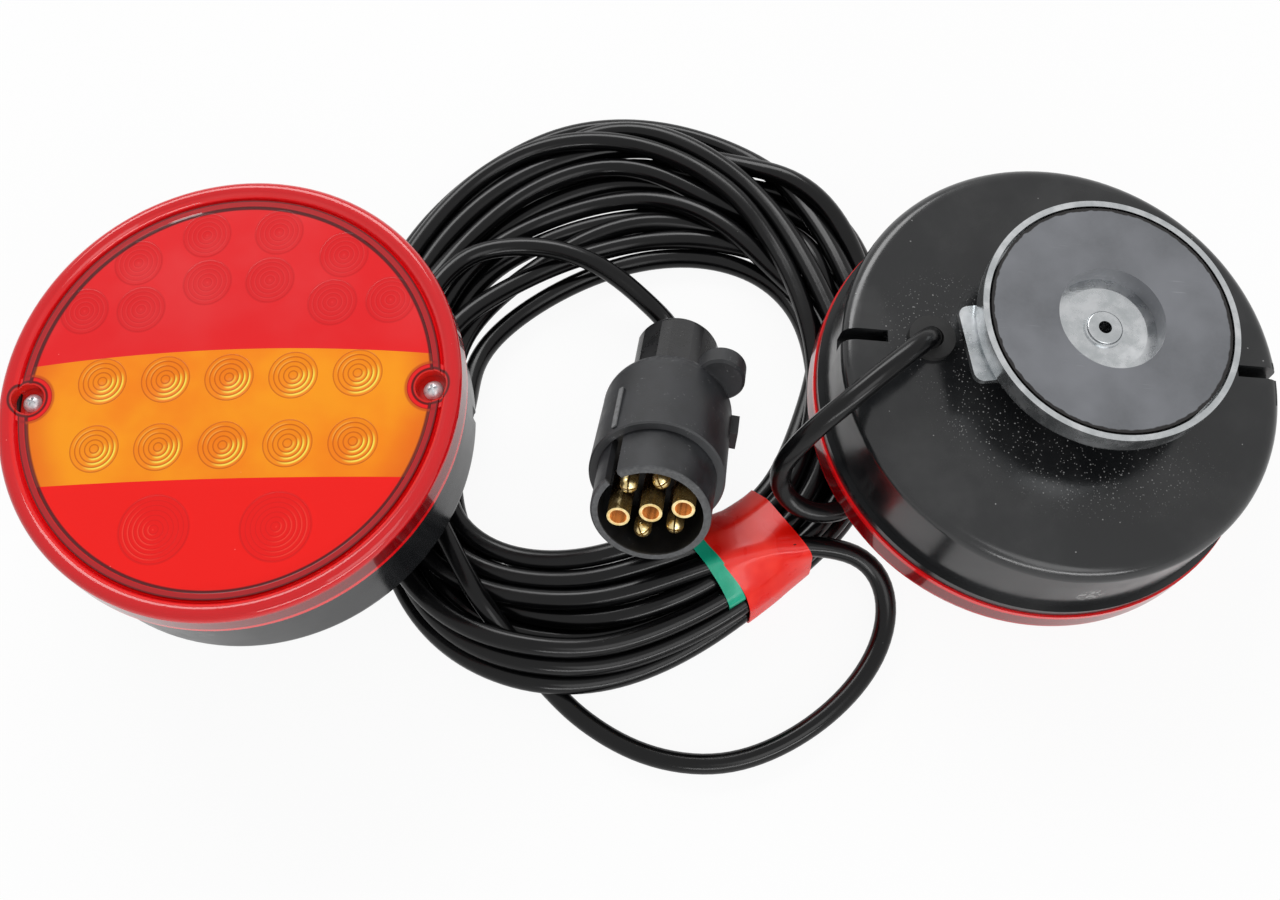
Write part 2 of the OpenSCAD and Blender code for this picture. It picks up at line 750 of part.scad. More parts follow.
// Shell: a turned body with a round shoulder, a thumb lug, a long rib and a small lug
module shell_outline() {
  difference() {
    union() {
      polygon([[0, -plug_nose], [shell_r - 0.5, -plug_nose], [shell_r, -plug_nose - 0.5],
        [shell_r - 0.55, -shell_end + shell_round], [0, -shell_end + shell_round]]);
      translate([shell_r - 0.5 - shell_round, -shell_end + shell_round]) circle(shell_round);
      translate([0, -shell_end]) square([shell_r - 0.5 - shell_round, shell_round + 1]);
      translate([0, -shell_end]) square([shell_neck_r, shell_round]);
    }
    translate([0, -insert_h]) square([insert_seat_r, insert_h]);
    translate([0, -shell_end + shell_wall]) square([shell_neck_r, shell_h]);
    translate([0, -shell_end - over]) square([nut_stem_r + seat, shell_h]);
  }
}

module plug_shell() {
  color([0.08, 0.08, 0.085]) {
    rotate_extrude() shell_outline();
    // long rib
    rotate([0, 0, rib_turn]) translate([shell_r - sunk, -rib_w / 2, -plug_nose - rib_nose - rib_h])
      cube([sunk + rib_out, rib_w, rib_h]);
    // small lug
    rotate([0, 0, small_lug_turn])
      translate([shell_r - sunk, -small_lug_w / 2, -plug_nose - small_lug_nose - small_lug_h])
        cube([sunk + small_lug_out, small_lug_w, small_lug_h]);
    // thumb lug, a round tab that stands out over the shoulder
    rotate([0, 0, thumb_turn]) translate([shell_r, 0, -shell_end]) {
      cylinder(r = thumb_r, h = thumb_h - thumb_edge);
      translate([0, 0, thumb_h - thumb_edge])
        cylinder(r1 = thumb_r, r2 = thumb_r - thumb_edge, h = thumb_edge);
    }
  }
}

// Clamping nut: a barrel with eight soft flats and a round end, a collar in front, and a
// stem that goes into the shell
module plug_cap_nut() {
  color([0.07, 0.07, 0.075])
  translate([0, 0, -nut_end]) difference() {
    union() {
      intersection() {
        rotate_extrude() union() {
          translate([0, nut_round]) square([nut_end_r, nut_h - nut_round - 0.5]);
          square([nut_end_r - nut_round, nut_round + 1]);
          translate([nut_end_r - nut_round, nut_round]) circle(nut_round);
        }
        rotate([0, 0, contact_turn]) translate([0, 0, -over])
          cylinder(r = nut_flat_r / cos(180 / nut_flats), h = nut_h + 2 * over, $fn = nut_flats);
      }
      translate([0, 0, nut_h - nut_collar_h]) cylinder(r1 = nut_flat_r - 0.2, r2 = nut_r, h = nut_collar_h);
      translate([0, 0, nut_h - 1]) cylinder(r = nut_stem_r, h = nut_stem_h + 1);
    }
    translate([0, 0, -over]) cylinder(r = cable_r + 4 * slip, h = nut_h);
    translate([0, 0, nut_round]) cylinder(r = seal_r, h = nut_h + 2 * nut_stem_h);
  }
}

// Rubber sleeve inside the nut
module plug_seal() {
  color([0.05, 0.05, 0.05])
  difference() {
    translate([0, 0, -nut_end + nut_round]) cylinder(r = seal_r - slip, h = seal_h);
    translate([0, 0, -nut_end]) cylinder(r = cable_r + 2 * slip, h = 2 * seal_h);
  }
}

// Cable

module plug_lead() color([0.05, 0.05, 0.05]) tube(plug_lead_route);

module left_plug_lead() color([0.05, 0.05, 0.05]) tube(left_plug_route);

module left_link_lead() color([0.05, 0.05, 0.05]) tube(left_link_route);

module loose_loop() color([0.05, 0.05, 0.05]) tube(loop_route);

module right_lead() color([0.05, 0.05, 0.05]) tube(right_lead_route);

// Outer shape of the turns, as one closed ring
module cable_coil() {
  n = len(coil_section);
  count = len(coil_route) * coil_steps;
  color([0.05, 0.05, 0.05])
  polyhedron(
    points = [for (i = [0:count - 1]) each coil_ring(i / coil_steps)],
    faces = [for (i = [0:count - 1], j = [0:n - 1]) each patch(i, (i + 1) % count, j, n)]);
}

module tape(rings) {
  difference() {
    coil_stretch(rings[0] / coil_steps, rings[1] / coil_steps, tape_fit + tape_t, 3);
    coil_stretch((rings[0] - 1) / coil_steps, (rings[1] + 1) / coil_steps, tape_fit, 5);
  }
}

module tape_red() color([0.85, 0.12, 0.1]) tape(red_tape_rings);

module tape_green() color([0.1, 0.6, 0.5]) tape(green_tape_rings);

// Nodes

at_left() rear_housing([entry_at, plug_entry_at]);  // left_rear_housing
at_left() lens_red();  // left_lens_red
at_left() lens_amber();  // left_lens_amber
at_left() lens_gasket();  // left_lens_gasket
at_left() led_board();  // left_led_board
at_left() leds_red();  // left_leds_red
at_left() leds_amber();  // left_leds_amber
at_left() board_screws();  // left_board_screws
at_left() lens_screws();  // left_lens_screws
at_left() grommet(entry_at);  // left_cable_grommet
at_left() grommet(plug_entry_at);  // left_plug_grommet
at_left() magnet_bracket();  // left_magnet_bracket
at_left() bracket_screws();  // left_bracket_screws
at_left() magnet_cup();  // left_magnet_cup
at_left() magnet_ring();  // left_magnet_ring
at_left() magnet_rivet();  // left_magnet_rivet
at_right() rear_housing([entry_at]);  // right_rear_housing
at_right() lens_red();  // right_lens_red
at_right() lens_amber();  // right_lens_amber
at_right() lens_gasket();  // right_lens_gasket
at_right() led_board();  // right_led_board
at_right() leds_red();  // right_leds_red
at_right() leds_amber();  // right_leds_amber
at_right() board_screws();  // right_board_screws
at_right() lens_screws();  // right_lens_screws
at_right() grommet(entry_at);  // right_cable_grommet
at_right() magnet_bracket();  // right_magnet_bracket
at_right() bracket_screws();  // right_bracket_screws
at_right() magnet_cup();  // right_magnet_cup
at_right() magnet_ring();  // right_magnet_ring
at_right() magnet_rivet();  // right_magnet_rivet
at_plug() plug_shell();
at_plug() plug_insert();
at_plug() plug_pins();
at_plug() plug_tubes();
at_plug() plug_cap_nut();
at_plug() plug_seal();
plug_lead();
left_plug_lead();
left_link_lead();
loose_loop();
right_lead();
cable_coil();
tape_red();
tape_green();
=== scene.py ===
from math import cos, pi, radians, sin

import bmesh
import bpy
import numpy as np
from mathutils import Matrix, Vector


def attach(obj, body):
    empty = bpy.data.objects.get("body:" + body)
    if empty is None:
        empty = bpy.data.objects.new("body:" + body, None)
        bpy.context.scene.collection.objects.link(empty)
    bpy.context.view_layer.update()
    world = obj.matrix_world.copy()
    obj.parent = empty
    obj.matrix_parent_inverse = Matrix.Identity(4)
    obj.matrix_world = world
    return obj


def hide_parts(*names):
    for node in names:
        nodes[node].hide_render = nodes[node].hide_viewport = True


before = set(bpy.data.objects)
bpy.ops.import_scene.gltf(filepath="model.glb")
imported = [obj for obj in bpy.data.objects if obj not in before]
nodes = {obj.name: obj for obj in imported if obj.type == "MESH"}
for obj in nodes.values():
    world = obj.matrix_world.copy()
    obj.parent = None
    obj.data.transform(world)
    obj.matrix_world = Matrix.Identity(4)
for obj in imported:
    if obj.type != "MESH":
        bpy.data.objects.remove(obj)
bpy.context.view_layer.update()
MM = 0.001

# The picture is 1280 pixels wide, and the focal length is 1870 of them.

picture_width = 1280
focal_length = 1870.4
sensor_width = 36

camera = bpy.data.objects.new("camera", bpy.data.cameras.new("camera"))
bpy.context.scene.collection.objects.link(camera)
bpy.context.scene.camera = camera
camera_at = Vector((-2.85, -224.3, 563.9)) * MM
camera_forward = Vector((0.0, 0.370, -0.929)).normalized()
camera_right = Vector((0.994, -0.098, -0.039))
camera_right = (camera_right - camera_right.dot(camera_forward) * camera_forward).normalized()
camera.matrix_world = Matrix.Translation(camera_at) @ Matrix(
    (camera_right, camera_right.cross(camera_forward), -camera_forward)).transposed().to_4x4()
camera.data.sensor_width = sensor_width
camera.data.lens = focal_length / picture_width * sensor_width
camera.data.clip_start = 0.01
camera.data.clip_end = 20

# A large soft light stands behind and above, a weaker one in front, and a low strip
# brings out the edges.

wall_light = 0.42
wall_in_gloss = 0.6
sheet_size = 6
sheet_at = (0, 0.5, -0.0002)
sheet_seen = 0.93
sheet_in_gloss = 0.5


class Value:
    """A number that varies over a surface, for sums written in plain Python."""

    def __init__(self, maker, socket):
        self.maker, self.socket = maker, socket

    def sum(self, operation, *others):
        """A Math node with this number first."""
        return self.maker.add("ShaderNodeMath", dict(enumerate((self, *others))), operation=operation)

    def turned(self, operation, other):
        """A Math node with this number second."""
        return self.maker.add("ShaderNodeMath", {0: other, 1: self}, operation=operation)

    def __add__(self, other):
        return self.sum("ADD", other)

    def __radd__(self, other):
        return self.turned("ADD", other)

    def __sub__(self, other):
        return self.sum("SUBTRACT", other)

    def __rsub__(self, other):
        return self.turned("SUBTRACT", other)

    def __mul__(self, other):
        return self.sum("MULTIPLY", other)

    def __rmul__(self, other):
        return self.turned("MULTIPLY", other)

    def __truediv__(self, other):
        return self.sum("DIVIDE", other)

    def __rtruediv__(self, other):
        return self.turned("DIVIDE", other)

    def __pow__(self, other):
        return self.sum("POWER", other)

    def __gt__(self, other):
        return self.sum("GREATER_THAN", other)

    def __lt__(self, other):
        return self.sum("LESS_THAN", other)

    def least(self, other):
        return self.sum("MINIMUM", other)

    def fraction(self):
        return self.sum("FRACT")

    def size(self):
        return self.sum("ABSOLUTE")

    def step(self, low, high, to_low=0.0, to_high=1.0):
        """Rises smoothly from to_low to to_high as the number goes from low to high."""
        return self.maker.add("ShaderNodeMapRange", {0: self, 1: low, 2: high, 3: to_low, 4: to_high},
                              interpolation_type="SMOOTHSTEP")

    def band(self, begins, full, fades, ends):
        """1 from full to fades, and smoothly 0 before begins and after ends."""
        return self.step(begins, full) * self.step(ends, fades)

    def inside(self, radius):
        """1 within that radius, with a soft edge."""
        return self.step(radius + 0.1, radius - 0.2)

    def line(self, at, gone, full):
        """1 within full of a value, and smoothly 0 past gone from it."""
        return (self - at).size().step(gone, full)


class Nodes:
    """The shader nodes of one material, or of the world."""

    def __init__(self, tree):
        self.tree = tree

    def plug_in(self, socket, value):
        if isinstance(value, Value):
            self.tree.links.new(value.socket, socket)
        elif socket.type == "RGBA" and len(value) == 3:
            socket.default_value = (*value, 1)
        else:
            socket.default_value = value

    def add(self, kind, inputs, output=0, **settings):
        """One node: its settings first, then the values or links of its sockets."""
        node = self.tree.nodes.new(kind)
        for name, value in settings.items():
            setattr(node, name, value)
        for name, value in inputs.items():
            self.plug_in(node.inputs[name], value)
        return Value(self, node.outputs[output])

    def rays(self, kind):
        """1 for rays of that kind, such as Is Camera Ray, and 0 for others."""
        return self.add("ShaderNodeLightPath", {}, output=kind)


class Finish(Nodes):
    """A material on Object coordinates, in millimetres, with its Principled shader. With a
    piece's pose, its coordinates are that piece's own."""

    def __init__(self, name, pose=None, **constants):
        self.material = bpy.data.materials.new(name)
        self.material.use_nodes = True
        super().__init__(self.material.node_tree)
        self.shader = self.tree.nodes["Principled BSDF"]
        for socket, value in constants.items():
            self.shader.inputs[socket.replace("_", " ")].default_value = value
        self.place = self.add("ShaderNodeTexCoord", {}, output="Object")
        self.place = self.scaled((1 / MM, 1 / MM, 1 / MM))
        if pose is not None:
            turns = {"Location": tuple(pose.to_translation()), "Rotation": tuple(pose.to_euler("XYZ"))}
            self.place = self.add("ShaderNodeMapping", {"Vector": self.place, **turns},
                                  vector_type="TEXTURE")

    def scaled(self, factors):
        """The place on the surface, with x, y and z each times a factor."""
        return self.add("ShaderNodeVectorMath", {0: self.place, 1: factors}, operation="MULTIPLY")

    def noise(self, size, detail=2.0, rough=0.5, stretch=(1, 1, 1)):
        """Noise about 0.5, with features about size millimetres across."""
        place = self.scaled(tuple(s / size for s in stretch))
        return self.add("ShaderNodeTexNoise", {"Vector": place, "Scale": 1.0, "Detail": detail,
                                               "Roughness": rough}, noise_dimensions="3D")

    def specks(self, size, radius, share):
        """Small dots with soft edges, in a share of the cells of that size."""
        cells = {"Vector": self.scaled((1 / size, 1 / size, 1 / size)), "Scale": 1.0}
        near = self.add("ShaderNodeTexVoronoi", cells, output="Distance")
        tint = self.add("ShaderNodeTexVoronoi", cells, output="Color")
        return near.step(radius / size, 0.4 * radius / size) * (self.parts(tint)[0] < share)

    def parts(self, vector=None):
        """The three numbers of a vector, or else x, y and z on the surface."""
        node = self.add("ShaderNodeSeparateXYZ", {0: vector or self.place}).socket.node
        return [Value(self, output) for output in node.outputs]

    def blend(self, amount, low, high):
        """From the low colour to the high one. A Mix node has its colours in sockets 6 and 7."""
        return self.add("ShaderNodeMix", {0: amount, 6: low, 7: high}, output=2, data_type="RGBA")

    def painted(self, tone, *layers):
        """A colour with others laid over it, each as far as its mask says."""
        for mask, over in layers:
            tone = self.blend(mask, tone, colour(*over))
        return tone

    def bump(self, height, depth):
        """A relief as deep as depth, in millimetres, where the height goes from 0 to 1."""
        return self.add("ShaderNodeBump", {"Strength": 1.0, "Distance": depth * MM, "Height": height})

    def wear(self, **channels):
        for socket, value in channels.items():
            self.plug_in(self.shader.inputs[socket.replace("_", " ")], value)
        return self

    def on(self, *names):
        """Gives the finish to CAD nodes or to new pieces."""
        for name in names:
            piece = nodes[name] if isinstance(name, str) else name
            if not piece.material_slots:
                piece.data.materials.append(self.material)
            for held in piece.material_slots:
                held.material = self.material
        return self


def colour(red, green, blue):
    """A colour as it looks on the screen, from 0 to 255, made linear."""
    return tuple(c / 255 / 12.92 if c < 10.3 else ((c / 255 + 0.055) / 1.055) ** 2.4
                 for c in (red, green, blue))


def soft_light(name, at, size, power):
    lamp = bpy.data.objects.new(name, bpy.data.lights.new(name, "AREA"))
    lamp.data.shape = "RECTANGLE"
    lamp.data.size, lamp.data.size_y = size
    lamp.data.energy = power
    lamp.location = at
    lamp.rotation_euler = (-Vector(at)).to_track_quat("-Z", "Y").to_euler()
    bpy.context.scene.collection.objects.link(lamp)


bpy.context.scene.view_settings.view_transform = "Standard"

world = bpy.data.worlds.new("studio")
bpy.context.scene.world = world
world.use_nodes = True
sky = Nodes(world.node_tree)
sky.tree.nodes.remove(sky.tree.nodes["Background"])
walls = sky.add("ShaderNodeBackground", {"Color": (1, 1, 1), "Strength": wall_light})
white = sky.add("ShaderNodeBackground", {"Color": (1, 1, 1), "Strength": 1.0})
whiteness = sky.rays("Is Glossy Ray") * wall_in_gloss + sky.rays("Is Camera Ray")
sky_mix = sky.add("ShaderNodeMixShader", {0: whiteness, 1: walls, 2: white})
sky.plug_in(sky.tree.nodes["World Output"].inputs["Surface"], sky_mix)

bpy.ops.object.select_all(action="DESELECT")
bpy.ops.mesh.primitive_plane_add(size=sheet_size, location=sheet_at)
floor = bpy.context.object
floor.name = "floor"
sheet = Finish("white_sheet", Roughness=0.6)
sheet.wear(Base_Color=sheet.blend(sheet.noise(90), colour(236, 236, 236), colour(240, 240, 240)))
shine = sheet.add("ShaderNodeEmission", {"Strength": 1.0})
whiteness = sheet.rays("Is Camera Ray") * sheet_seen + sheet.rays("Is Glossy Ray") * sheet_in_gloss
sheet_mix = sheet.add("ShaderNodeMixShader", {
    0: whiteness, 1: Value(sheet, sheet.shader.outputs[0]), 2: shine})
sheet.plug_in(sheet.tree.nodes["Material Output"].inputs["Surface"], sheet_mix)
sheet.on(floor)

soft_light("back_light", at=(-0.25, 1.15, 0.95), size=(1.3, 0.6), power=14)
soft_light("front_light", at=(0.5, -0.9, 1.2), size=(0.8, 0.8), power=4)
soft_light("low_light", at=(0.3, -1.3, 0.5), size=(1.3, 0.22), power=7)

# The cable is one round seven-core cord in a black sheath, 6.4 mm thick. It runs from the
# plug to the left lamp and on from there to the right lamp, and both stretches lie in the
# coil. Below, each strand has its lane in the coil's section, station by station.

cable_d = 6.4
coil_line = np.array([
    [68.2, 22.6], [56.2, 69.6], [5.2, 91.6], [-53, 67.6], [-71, 5.6], [-60.9, -49.4], [-18, -60.2],
    [-3, -55], [10, -52.4], [31, -45.4], [55.2, -26.4]])
# Outward place and height of each strand's middle
lanes = {
    0: dict(l=(10.8, 3.2), e=(4.4, 3.2), g=(-2, 3.2), h=(-8.4, 3.2), c=(8, 8.8), i=(1.5, 8.8),
            d=(-4.8, 8.8), j=(-11.4, 8.6), k=(4.7, 14.3), f=(-1.7, 14.3), b=(-8, 14.3),
            a=(-12.2, 17.2)),
    0.5: dict(l=(13.5, 3.2), e=(7.1, 3.2), g=(.7, 3.2), h=(-5.7, 3.2), j=(-12.1, 3.4), c=(9.5, 8.8),
              i=(3.9, 8.8), d=(-2.5, 8.8), f=(-9, 8.8), k=(1.5, 14.2), b=(-11.5, 13.5),
              a=(-7.2, 14.6)),
    1: dict(l=(17, 3.2), e=(10.6, 3.2), g=(4.2, 3.2), h=(-2.2, 3.2), i=(-8.6, 3.2), j=(-15, 3.2),
            c=(12.6, 8.8), k=(6.6, 9), d=(1, 7.5), a=(-4.5, 9.8), b=(-9.8, 9), f=(-15, 8.8)),
    1.5: dict(k=(18.6, 3.2), c=(12.6, 3.2), l=(6.6, 3.2), e=(.6, 3.2), g=(-5.4, 3.2),
              h=(-11.4, 3.2), j=(-17.2, 3.2), a=(9, 8.8), b=(3, 8.8), d=(-3, 8.8), f=(-9, 8.8),
              i=(-14.5, 8.8)),
    2: dict(k=(26.6, 3.2), c=(20.2, 3.2), l=(13.8, 3.2), e=(7.4, 3.2), a=(23.4, 8.8), b=(17, 8.8),
            d=(10.6, 8.8), f=(-2.2, 3.2), g=(-8.6, 3.2), h=(-12, 8.8), i=(-15.2, 3.2),
            j=(-21.8, 3.2)),
    2.5: dict(k=(28, 3.2), b=(25.5, 8.9), a=(21.6, 3.2), c=(19.2, 9), l=(15.2, 3.2), d=(12, 8.9),
              e=(7, 3.2), f=(.6, 3.2), g=(-5.8, 3.2), h=(-12.3, 3.2), i=(-16.8, 7.7),
              j=(-23.1, 3.2)),
    3: dict(k=(24.3, 3.2), a=(17.9, 3.2), l=(11.5, 3.2), e=(5.1, 3.2), g=(-1.5, 3.2), b=(20.6, 8.8),
            c=(14.4, 8.8), d=(7.6, 8.8), f=(1.4, 8.7), h=(-11.2, 3.2), i=(-14, 8.8),
            j=(-20.8, 3.2)),
    3.5: dict(k=(23.4, 3.2), a=(17.2, 3.2), l=(11, 3.2), e=(4.8, 3.2), g=(-1.4, 3.2), j=(-6.6, 3.4),
              b=(21, 8.8), c=(14.6, 8.8), d=(8.4, 8.8), f=(2.2, 8.8), h=(-3, 9.2), i=(0, 15)),
    3.75: dict(j=(-6, 8.8)),
    4: dict(k=(10.6, 3.2), a=(4.2, 3.2), l=(-2.2, 3.2), e=(-8.4, 3.2), b=(10.4, 9.4), f=(4, 9.4),
            g=(-2.4, 9.4), h=(-6.2, 9.2), d=(11, 15), c=(5, 15), i=(-.8, 15), j=(-6, 14.3)),
    4.25: dict(k=(14.6, 3.2), a=(8.2, 3.2), l=(1.8, 3.2), e=(-4.6, 3.2), b=(11.4, 8.75),
               f=(5, 8.75), g=(-1.4, 8.75), h=(-5, 8.75), d=(13.4, 14.3), c=(8, 14.3), i=(4, 14.3),
               j=(0, 14.3)),
    4.5: dict(k=(16.6, 3.2), a=(10.2, 3.2), l=(3.8, 3.2), e=(-2.6, 3.2), b=(13.4, 8.75),
              f=(7, 8.75), g=(.6, 8.75), h=(-4, 8.75), d=(15, 14.3), c=(9, 14.3), i=(3.2, 14.3),
              j=(-2.6, 14.3)),
    5: dict(k=(13.6, 4.4), a=(6.2, 3.2), l=(-.2, 3.2), e=(-6.6, 3.2), h=(-11.8, 7), b=(10.6, 10),
            f=(3.2, 9), g=(-2.6, 9), d=(8, 16.8), c=(-4, 14.5), i=(-10.4, 13.8), j=(-17.6, 12)),
    5.5: dict(k=(17.6, 9.8), a=(8.2, 3.2), l=(1.9, 3.2), e=(-4.5, 3.6), h=(-10.6, 8),
              b=(12.8, 14.2), f=(3.5, 9.2), g=(-1.6, 12.6), d=(8.4, 19.8), c=(-7, 15),
              i=(-12.7, 14.8), j=(-17.8, 15.2)),
    6: dict(k=(16.8, 4.5), b=(13.9, 10.4), d=(9.7, 15.5), f=(5, 10.5), g=(1.4, 14.5), c=(-5, 17),
            i=(-11.5, 18), j=(-17.2, 19), a=(10, 3.2), l=(3, 3.2), e=(-4, 5), h=(-10, 10)),
    7: dict(k=(16.2, 3.2), b=(13.6, 8.9), d=(9.2, 16.2), f=(5, 11), g=(3, 17.5), c=(-3.5, 21),
            i=(-9.8, 23.5), j=(-15.8, 25.6), a=(9.8, 3.2), l=(3.4, 3.4), e=(-3, 8), h=(-9.5, 13.5)),
    8: dict(k=(13, 3.2), b=(12.2, 9.2), d=(9.5, 15.5), f=(3, 11.5), g=(4, 19), c=(-2.5, 21),
            i=(-8.5, 22.5), j=(-13.7, 22.5), a=(6.6, 3.3), l=(0, 3.6), e=(-5.8, 8.5), h=(-8, 14.5)),
    8.5: dict(k=(9.8, 3.3), a=(3.4, 3.3), l=(-3, 3.4), e=(-9, 5), b=(9.6, 9.7), f=(3, 9.7),
              h=(-4.8, 10.8), d=(4.6, 16), g=(-1.8, 16.8), c=(-4, 22.2), i=(-10, 20.8),
              j=(-14.8, 16)),
    9: dict(k=(7.2, 3.4), a=(.8, 3.4), l=(-5.6, 3.5), e=(-11.8, 4.2), b=(7.2, 9.8), f=(.8, 9.8),
            h=(-5.5, 10), j=(-12.6, 12), d=(6, 16.2), g=(-.4, 16.4), i=(-7, 18.5), c=(-1, 22)),
    9.5: dict(k=(5, 3.3), a=(-1.4, 3.3), l=(-7.8, 3.4), e=(-13.6, 4), b=(4.8, 9.6), f=(-1.6, 9.6),
              h=(-8, 9.6), j=(-14, 10.4), d=(3.4, 16), g=(-3.2, 16), i=(-9.4, 16.5)),
    10: dict(k=(8.5, 3.3), a=(2.1, 3.3), l=(-4.3, 3.3), e=(-10.7, 3.5), b=(8.2, 9.3), f=(-.6, 8.9),
             h=(-7, 8.9), j=(-13.3, 9.5), d=(5, 14.5), g=(-3.5, 14.5), i=(-10, 15.5), r=(12, 17)),
    10.5: dict(r=(3, 18.8)),
}
plug_lead_route = [
    [12.5, 27.4, 12.7], [13.5, 32.4, 9.8], [13.6, 37.2, 7], [10.4, 43, 5.6], [4.8, 48.6, 7.9],
    [-2.4, 55.9, 12.2], [-11.3, 62.6, 15], [-22.6, 68.2, 15.8], [-34.2, 70.8, 16],
    [-46.1, 70.7, 16.4], [-54.3, 68.8, 16.8], [-60.4, 65.6, 17], [-65, 62, 17]]
left_plug_route = [
    [-86.7, 30.1, 44.4], [-85.4, 30.1, 25.9], [-85, 31, 22.6], [-83.4, 34.8, 19.6],
    [-79.6, 40.6, 18.2], [-75, 47, 17.6]]
left_link_route = [
    [-79.2, 6.3, 45.2], [-77.9, 6.3, 26.4], [-77.5, 5.4, 23], [-76.4, 2.4, 20.6], [-74.4, -5, 20.2],
    [-68.4, -21.8, 21.4], [-64.8, -31, 21.6], [-60.6, -41.6, 21.4], [-55.9, -52, 21.2],
    [-52.4, -58, 21.2]]
loop_route = [
    [-33.6, -83, 3.3], [-30.4, -86, 3.3], [-21.9, -93.6, 3.3], [-10.3, -100.7, 3.3],
    [2.9, -104.8, 3.3], [13.6, -105.7, 3.3], [26.1, -103.2, 3.3], [39.1, -97.7, 3.3],
    [51.1, -89.7, 3.3], [60.8, -79.9, 3.3], [66.8, -69.5, 3.6], [68.8, -61.6, 5.5], [68, -54.6, 9],
    [63.8, -48.9, 13], [59.6, -46.6, 15.6]]
right_lead_route = [
    [83.1, 2.2, 41], [86.5, 2.2, 60], [87.2, 1.6, 65.4], [84.4, -1.4, 69.8], [78, -6.4, 71.4],
    [70.9, -10.9, 71.6], [64, -15.5, 71], [57.1, -19.9, 69], [49.5, -22.6, 63.5], [43.7, -25.2, 56],
    [39.2, -26.5, 47], [37, -27.7, 40], [36.9, -29.5, 34], [38.5, -31.9, 30], [42, -35.4, 28.2],
    [46.7, -38.2, 27], [51, -39.8, 25.2], [54.4, -40.8, 22.9]]
# Ways that the link takes out of the coil into the loop, and from the loop to the left lamp
coil_to_loop = [[44, -43.9, 21], [50.9, -44, 20], [57.8, -45.6, 17]]
loop_to_lamp = [[-37.7, -78.6, 3.3], [-42.5, -72, 4.2], [-47, -65.6, 11.5]]


def coil_middle(station):
    """Middle of the coil's section, on a smooth closed line through its stations."""
    i = int(np.floor(station))
    t = station - i
    a, b, c, e = (coil_line[(i + k) % len(coil_line)] for k in (-1, 0, 1, 2))
    return b + 0.5 * t * ((c - a) + t * ((2 * a - 5 * b + 4 * c - e) + t * (3 * (b - c) + e - a)))


def coil_outward(station):
    """Direction away from the coil's hole, level and square to its middle line."""
    ahead = coil_middle(station + 0.02) - coil_middle(station - 0.02)
    ahead /= np.linalg.norm(ahead)
    return np.array([ahead[1], -ahead[0]])


def strand(name, first=0.0, last=10.5):
    """Points of one strand at the stations from first to last."""
    points = []
    for station in sorted(lanes):
        if first <= station <= last and name in lanes[station]:
            out, height = lanes[station][name]
            points.append([*(coil_middle(station) + out * coil_outward(station)), height])
    return points


def cord_line(points, step):
    """A smooth line through the points, with new points a step apart."""
    p = np.array(points, float)
    parts_of_a_span = 24
    t = np.r_[0, np.cumsum(np.linalg.norm(np.diff(p, axis=0), axis=1) ** 0.5)]
    slope = np.empty_like(p)
    slope[0] = (p[1] - p[0]) / (t[1] - t[0])
    slope[-1] = (p[-1] - p[-2]) / (t[-1] - t[-2])
    u, v = np.diff(t)[:-1, None], np.diff(t)[1:, None]
    slope[1:-1] = ((p[1:-1] - p[:-2]) / u * v + (p[2:] - p[1:-1]) / v * u) / (u + v)
    x = np.linspace(0, 1, parts_of_a_span, endpoint=False)[:, None]
    fine = []
    for k in range(len(p) - 1):
        w = t[k + 1] - t[k]
        fine.append((2 * x**3 - 3 * x**2 + 1) * p[k] + (x**3 - 2 * x**2 + x) * w * slope[k]
                    + (3 * x**2 - 2 * x**3) * p[k + 1] + (x**3 - x**2) * w * slope[k + 1])
    fine = np.vstack([*fine, p[-1:]])
    along = np.r_[0, np.cumsum(np.linalg.norm(np.diff(fine, axis=0), axis=1))]
    at = np.linspace(0, along[-1], int(round(along[-1] / step)) + 1)
    return np.stack([np.interp(at, along, fine[:, k]) for k in range(3)], 1)


# Plug to left lamp in five and a half turns, and right lamp to left lamp in seven
plug_cord = plug_lead_route + strand("d", 3.8)
for name in "klgf":
    plug_cord += strand(name)
plug_cord += strand("d", 0, 3) + left_plug_route[::-1]
link_cord = right_lead_route + strand("r")
for name in "aejhib":
    link_cord += strand(name, 0.5 if name == "a" else 0)
link_cord += strand("c", 0, 9.2) + coil_to_loop + loop_route[::-1]
link_cord += loop_to_lamp + left_link_route[::-1]
cords = [cord_line(way, step=3.0) for way in (plug_cord, link_cord)]


def stays(line, routes):
    """1 where a point of the line lies on one of the routes, else 0."""
    on_route = 1.0
    held = np.zeros(len(line))
    for way in routes:
        fine = cord_line(way, step=1.0)
        held[[np.min(np.linalg.norm(fine - q, axis=1)) < on_route for q in line]] = 1
    return held


def smooth(line, amount, rounds):
    """Takes the small waves out of a line, as far as each point's amount lets it."""
    for smoothing in range(rounds):
        line[1:-1] += (0.25 * (line[:-2] + line[2:]) - 0.5 * line[1:-1]) * amount[1:-1, None]


# The strands press each other apart until they lie side by side, and stay near their lanes.
# Lengths are in millimetres, and same_bit counts points along a strand.
settling_rounds = 200
search_every = 8
search_reach = cable_d + 3.5
searched_at_once = 256
same_bit = 6
alongside = 0.92
level = 2.0
push_share = 0.9
pull_back = 0.004

